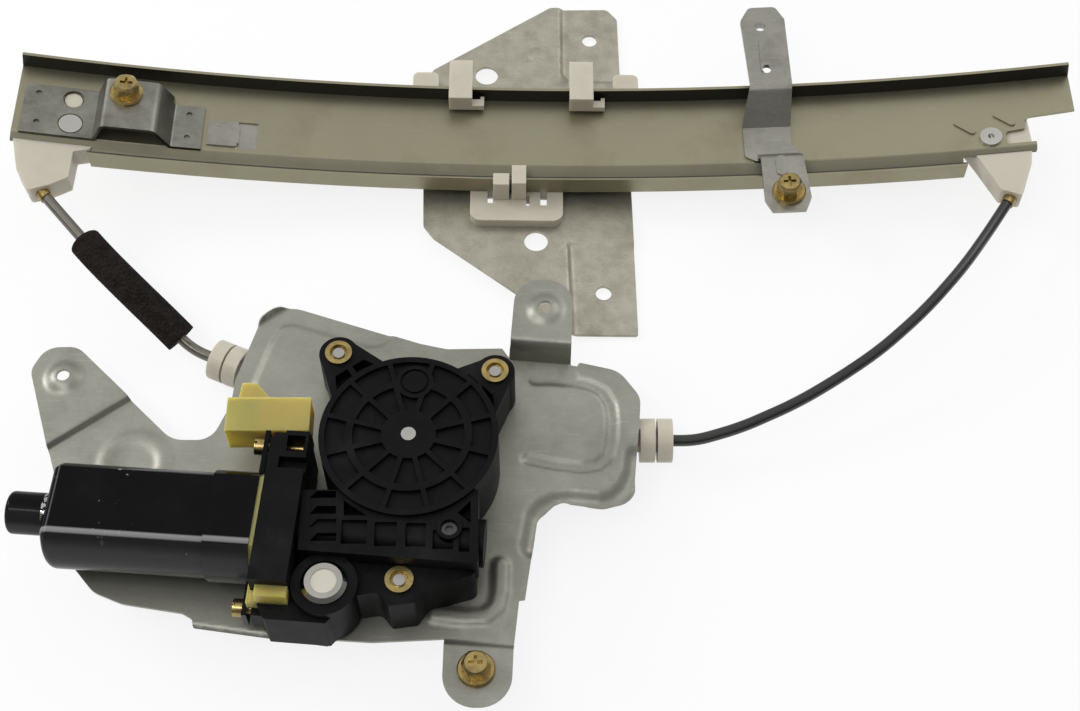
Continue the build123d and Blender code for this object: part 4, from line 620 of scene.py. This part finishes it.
natural_nylon = surface("natural nylon", bump=0.05, colour=(0.57, 0.53, 0.435),
                        second_colour=(0.50, 0.46, 0.37), cloud_scale=26.0, cloud_contrast=0.6,
                        grain_scale=700.0, grain_strength=0.15, stain_colour=(0.35, 0.30, 0.22),
                        stain_amount=0.15, stain_scale=60.0, roughness=0.36,
                        shader=translucent(0.35, (0.006, 0.005, 0.004)))
for name in ("left_cable_guide", "right_cable_guide", "left_conduit_cap", "right_conduit_cap"):
    wear(name, natural_nylon, edge=0.0007, segments=3)


# Conduits, bushes and foam sleeve
# The left conduit is bare lacquered steel strands, with a foam tube against rattling; the
# right one has a glossy black plastic jacket. The steel lift cable runs through both.

STRANDS = 15.0

strand_steel = surface("lacquered strands", metallic=0.7, colour=(0.22, 0.205, 0.175),
                       second_colour=(0.16, 0.15, 0.13), roughness=0.35)
jacket = surface("black conduit jacket", colour=(0.012, 0.012, 0.012),
                 second_colour=(0.02, 0.02, 0.02), roughness=0.22,
                 shader=[("Specular IOR Level", 0.6)])
foam = surface("dark foam", bump=1.0, relief=0.0025, colour=(0.013, 0.010, 0.0085),
               second_colour=(0.03, 0.024, 0.02), cloud_scale=260.0, cloud_contrast=0.8,
               grain_scale=800.0, grain_strength=1.2, roughness=0.95,
               shader=[("Specular IOR Level", 0.1)])
tree = strand_steel.node_tree
turn = node(tree, "Math", [(0, facing(tree, "Z"))], operation="ARCCOSINE").outputs[0]
strands = combined(tree, combined(tree, turn, STRANDS), 0.0, "SINE")
relief = node(tree, "Bump", [("Height", strands), ("Strength", 0.7), ("Distance", 0.0001)])
tree.links.new(relief.outputs["Normal"], tree.nodes["Principled BSDF"].inputs["Normal"])
# Painted shade: the colour darkens in the grooves between the strands.
strand_groove_shade = ranged(tree, strands, start=-0.3, end=-1.0, high=0.7)
groove_shaded_colour = mixed(tree, strand_groove_shade, tree.nodes["finish"].outputs["Color"], (0.03, 0.028, 0.024, 1))
tree.links.new(groove_shaded_colour, tree.nodes["Principled BSDF"].inputs["Base Color"])
wear("left_conduit", strand_steel)
wear("right_conduit", jacket)
wear("foam_sleeve", foam, edge=0.0015, segments=3)
wear("conduit_bushes", yellow_zinc, edge=0.0004)
wear("lift_cable", wire)


# Carrier
# Holds the window glass: a flat zinc-coated pressing behind the rail, with two lower pads,
# riveted to two nylon sliders that run on the rail. The cable ends are hooked to it.

CARRIER_OUTLINE = [
    (0.0, 231.6, 3), (58.0, 273.7, 3), (86.5, 274.6, 4), (91.5, 268.0, 3), (92.2, 228.8),
    (95.8, 160.5), (97.0, 84.0, 2), (96.9, 80.5, 1), (67.4, 80.5, 1), (41.3, 101.8, 20),
    (3.5, 131.4, 4), (-1.3, 138.2, 4), (-2.1, 162.3)]
CARRIER_HOLES = [
    (77.5, 253.9, 3.65), (81.8, 103.1, 3.65), (26.7, 228.8, 5.5), (51.0, 130.2, 5.5),
    (5.0, 197.0, 2.05), (90.0, 197.0, 2.05), (26.0, 163.0, 2.05), (58.0, 163.0, 2.05),
    (28.3, 30.8, 147.8, 155.0), (46.3, 47.8, 146.5, 152.2), (52.9, 56.0, 146.8, 154.7)]
CARRIER_FRONT = -11.0
CARRIER_THICK = 1.6
PAD_DROP = 2.0
STEP_WIDTH = 3.0
STEP_WIDENS = (66.5, 74.0)
FAR_RIGHT = 130.0
UPPER_STEP = [(FAR_RIGHT, 224.7), (67.2, 224.7), (62.0, 230.0), (62.0, 300.0)]
LOWER_STEP = [(FAR_RIGHT, 131.3), (64.6, 131.3), (66.6, 60.0)]
DIMPLE_SPOT = (50.9, 242.5)
DIMPLE_RISE = 0.9
DIMPLE_REACH = (4.6, 2.8)
RAIL_MIDDLE = 0.0477
WEB_HEIGHT = 0.01568
RAIL_TILT = 1.176

carrier_zinc = surface("carrier zinc", metallic=0.85, bump=0.2, colour=(0.44, 0.415, 0.337),
                       second_colour=(0.35, 0.332, 0.272), cloud_scale=130.0, cloud_contrast=1.0,
                       grain_scale=1100.0, grain_strength=1.3, stain_colour=(0.14, 0.13, 0.10),
                       stain_amount=0.35, stain_scale=70.0, roughness=0.46, roughness_spread=0.3,
                       scratch_amount=0.08)


def carrier_height(p):
    """The height of the carrier's front face from the rail's web; two glass pads lie lower."""
    z = np.full(len(p), CARRIER_FRONT)
    for line, widest in ((UPPER_STEP, STEP_WIDTH), (LOWER_STEP, 5.2)):
        within = inside(p, line + [(FAR_RIGHT, line[-1][1])])
        width = np.interp(p[:, 0], STEP_WIDENS, [STEP_WIDTH, widest])
        z -= PAD_DROP * eased(np.where(within, 1, -1) * away(p, line), 0.0, width)
    return z + DIMPLE_RISE * eased(around(p, DIMPLE_SPOT), *DIMPLE_REACH)


tilt = (Matrix.Translation((RAIL_MIDDLE, 0, WEB_HEIGHT))
        @ Matrix.Rotation(math.radians(RAIL_TILT), 4, "Y")
        @ Matrix.Translation((-RAIL_MIDDLE, 0, 0)))
rows = (-0.8, 0.0, 0.8, 1.6, 2.4, 3.2, 4.0)
rows_down = (0.8, 0.0, -0.8, -1.6, -2.4, -3.2, -4.0)
carrier_sheet = pressing(
    "pressed_carrier_plate", "carrier_plate", carrier_zinc, CARRIER_OUTLINE, CARRIER_HOLES,
    [(((62.0, 276.0), (62.0, 230.0)), rows), (((67.2, 224.7), (94.0, 224.7)), rows),
     (((66.6, 79.0), (64.7, 131.0)), rows_down),
     (((64.6, 131.3), (97.0, 131.3)), (*rows_down[:-1], -4.2, -5.2))],
    carrier_height, CARRIER_THICK, place=tilt)
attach(carrier_sheet, "carrier")
for name in ("upper_slider", "lower_slider"):
    wear(name, natural_nylon, edge=0.0005, segments=3)
wear("slider_rivets", bare_steel, edge=0.0003)
wear("cable_anchor", black_nylon, edge=0.0004)
wear("cable_nipples", yellow_zinc, edge=0.0003)


# Floor, world, lamps and camera
# The part lies on a plain white table, under soft light from above. The camera stands where
# the photograph was taken from.

REACH = 3
GAP = 0.0005
PLAIN_WHITE = 0.84

table = bpy.data.meshes.new("table")
corners = [(-REACH, -REACH, 0), (REACH, -REACH, 0), (REACH, REACH, 0), (-REACH, REACH, 0)]
table.from_pydata(corners, [], [(0, 1, 2, 3)])
table_top = bpy.data.objects.new("table_top", table)
bpy.context.scene.collection.objects.link(table_top)
table_top.location.z = -GAP
white = bpy.data.materials.new("white table")
white.use_nodes = True
tree = white.node_tree
body = tree.nodes["Principled BSDF"]
body.inputs["Base Color"].default_value = (0.92, 0.92, 0.92, 1)
body.inputs["Roughness"].default_value = 0.9
body.inputs["Specular IOR Level"].default_value = 0.0
path = node(tree, "LightPath")
seen = combined(tree, path.outputs["Is Camera Ray"], path.outputs["Is Glossy Ray"], "MAXIMUM")
seen = combined(tree, seen, path.outputs["Is Transmission Ray"], "MAXIMUM")
plain = node(tree, "Emission", [("Color", (1, 1, 1, 1)), ("Strength", 1.0)])
share = combined(tree, seen, PLAIN_WHITE)
blend = node(tree, "MixShader", [(0, share), (1, body.outputs[0]), (2, plain.outputs[0])])
tree.links.new(blend.outputs[0], tree.nodes["Material Output"].inputs["Surface"])
table_top.data.materials.append(white)

world = bpy.data.worlds.new("studio")
bpy.context.scene.world = world
world.use_nodes = True
tree = world.node_tree
sky = node(tree, "TexCoord").outputs["Generated"]
bright_side = node(tree, "VectorMath", [(0, sky), (1, (-0.02, 0.42, 0.91))],
                   operation="DOT_PRODUCT").outputs["Value"]
shade = node(tree, "MapRange", [("Value", bright_side), ("From Min", -0.1), ("From Max", 1.0),
                                ("To Min", 0.16), ("To Max", 0.87)],
             interpolation_type="SMOOTHSTEP")
tree.links.new(shade.outputs[0], tree.nodes["Background"].inputs["Strength"])
tree.nodes["Background"].inputs["Color"].default_value = (1, 1, 1, 1)


def lamp(name, spot, aim, size, power, depth=None):
    """A square lamp, or a rectangular one where it has a depth, aimed at a point."""
    light = bpy.data.lights.new(name, "AREA")
    light.size = size
    if depth:
        light.shape = "RECTANGLE"
        light.size_y = depth
    light.energy = power
    holder = bpy.data.objects.new(name, light)
    holder.location = spot
    holder.rotation_euler = (Vector(aim) - Vector(spot)).to_track_quat("-Z", "Y").to_euler()
    bpy.context.scene.collection.objects.link(holder)


lamp("key", spot=(-1.25, 0.60, 0.95), aim=(0.05, 0.05, 0), size=0.45, power=8.0)
lamp("fill", spot=(0.95, 1.0, 1.05), aim=(0.15, 0.10, 0), size=0.9, power=3.2)
lamp("strip", spot=(-0.38, -0.36, 1.20), aim=(-0.05, -0.05, 0.03), size=0.85, power=3.2, depth=0.07)

eye = bpy.data.cameras.new("camera")
eye.lens = 60.0
eye.sensor_width = 36.0
camera = bpy.data.objects.new("camera", eye)
camera.location = (0.0526, -0.3491, 0.6856)
camera.rotation_euler = (math.radians(31.5), 0, 0)
bpy.context.scene.collection.objects.link(camera)
bpy.context.scene.camera = camera
bpy.context.scene.view_settings.view_transform = "Standard"
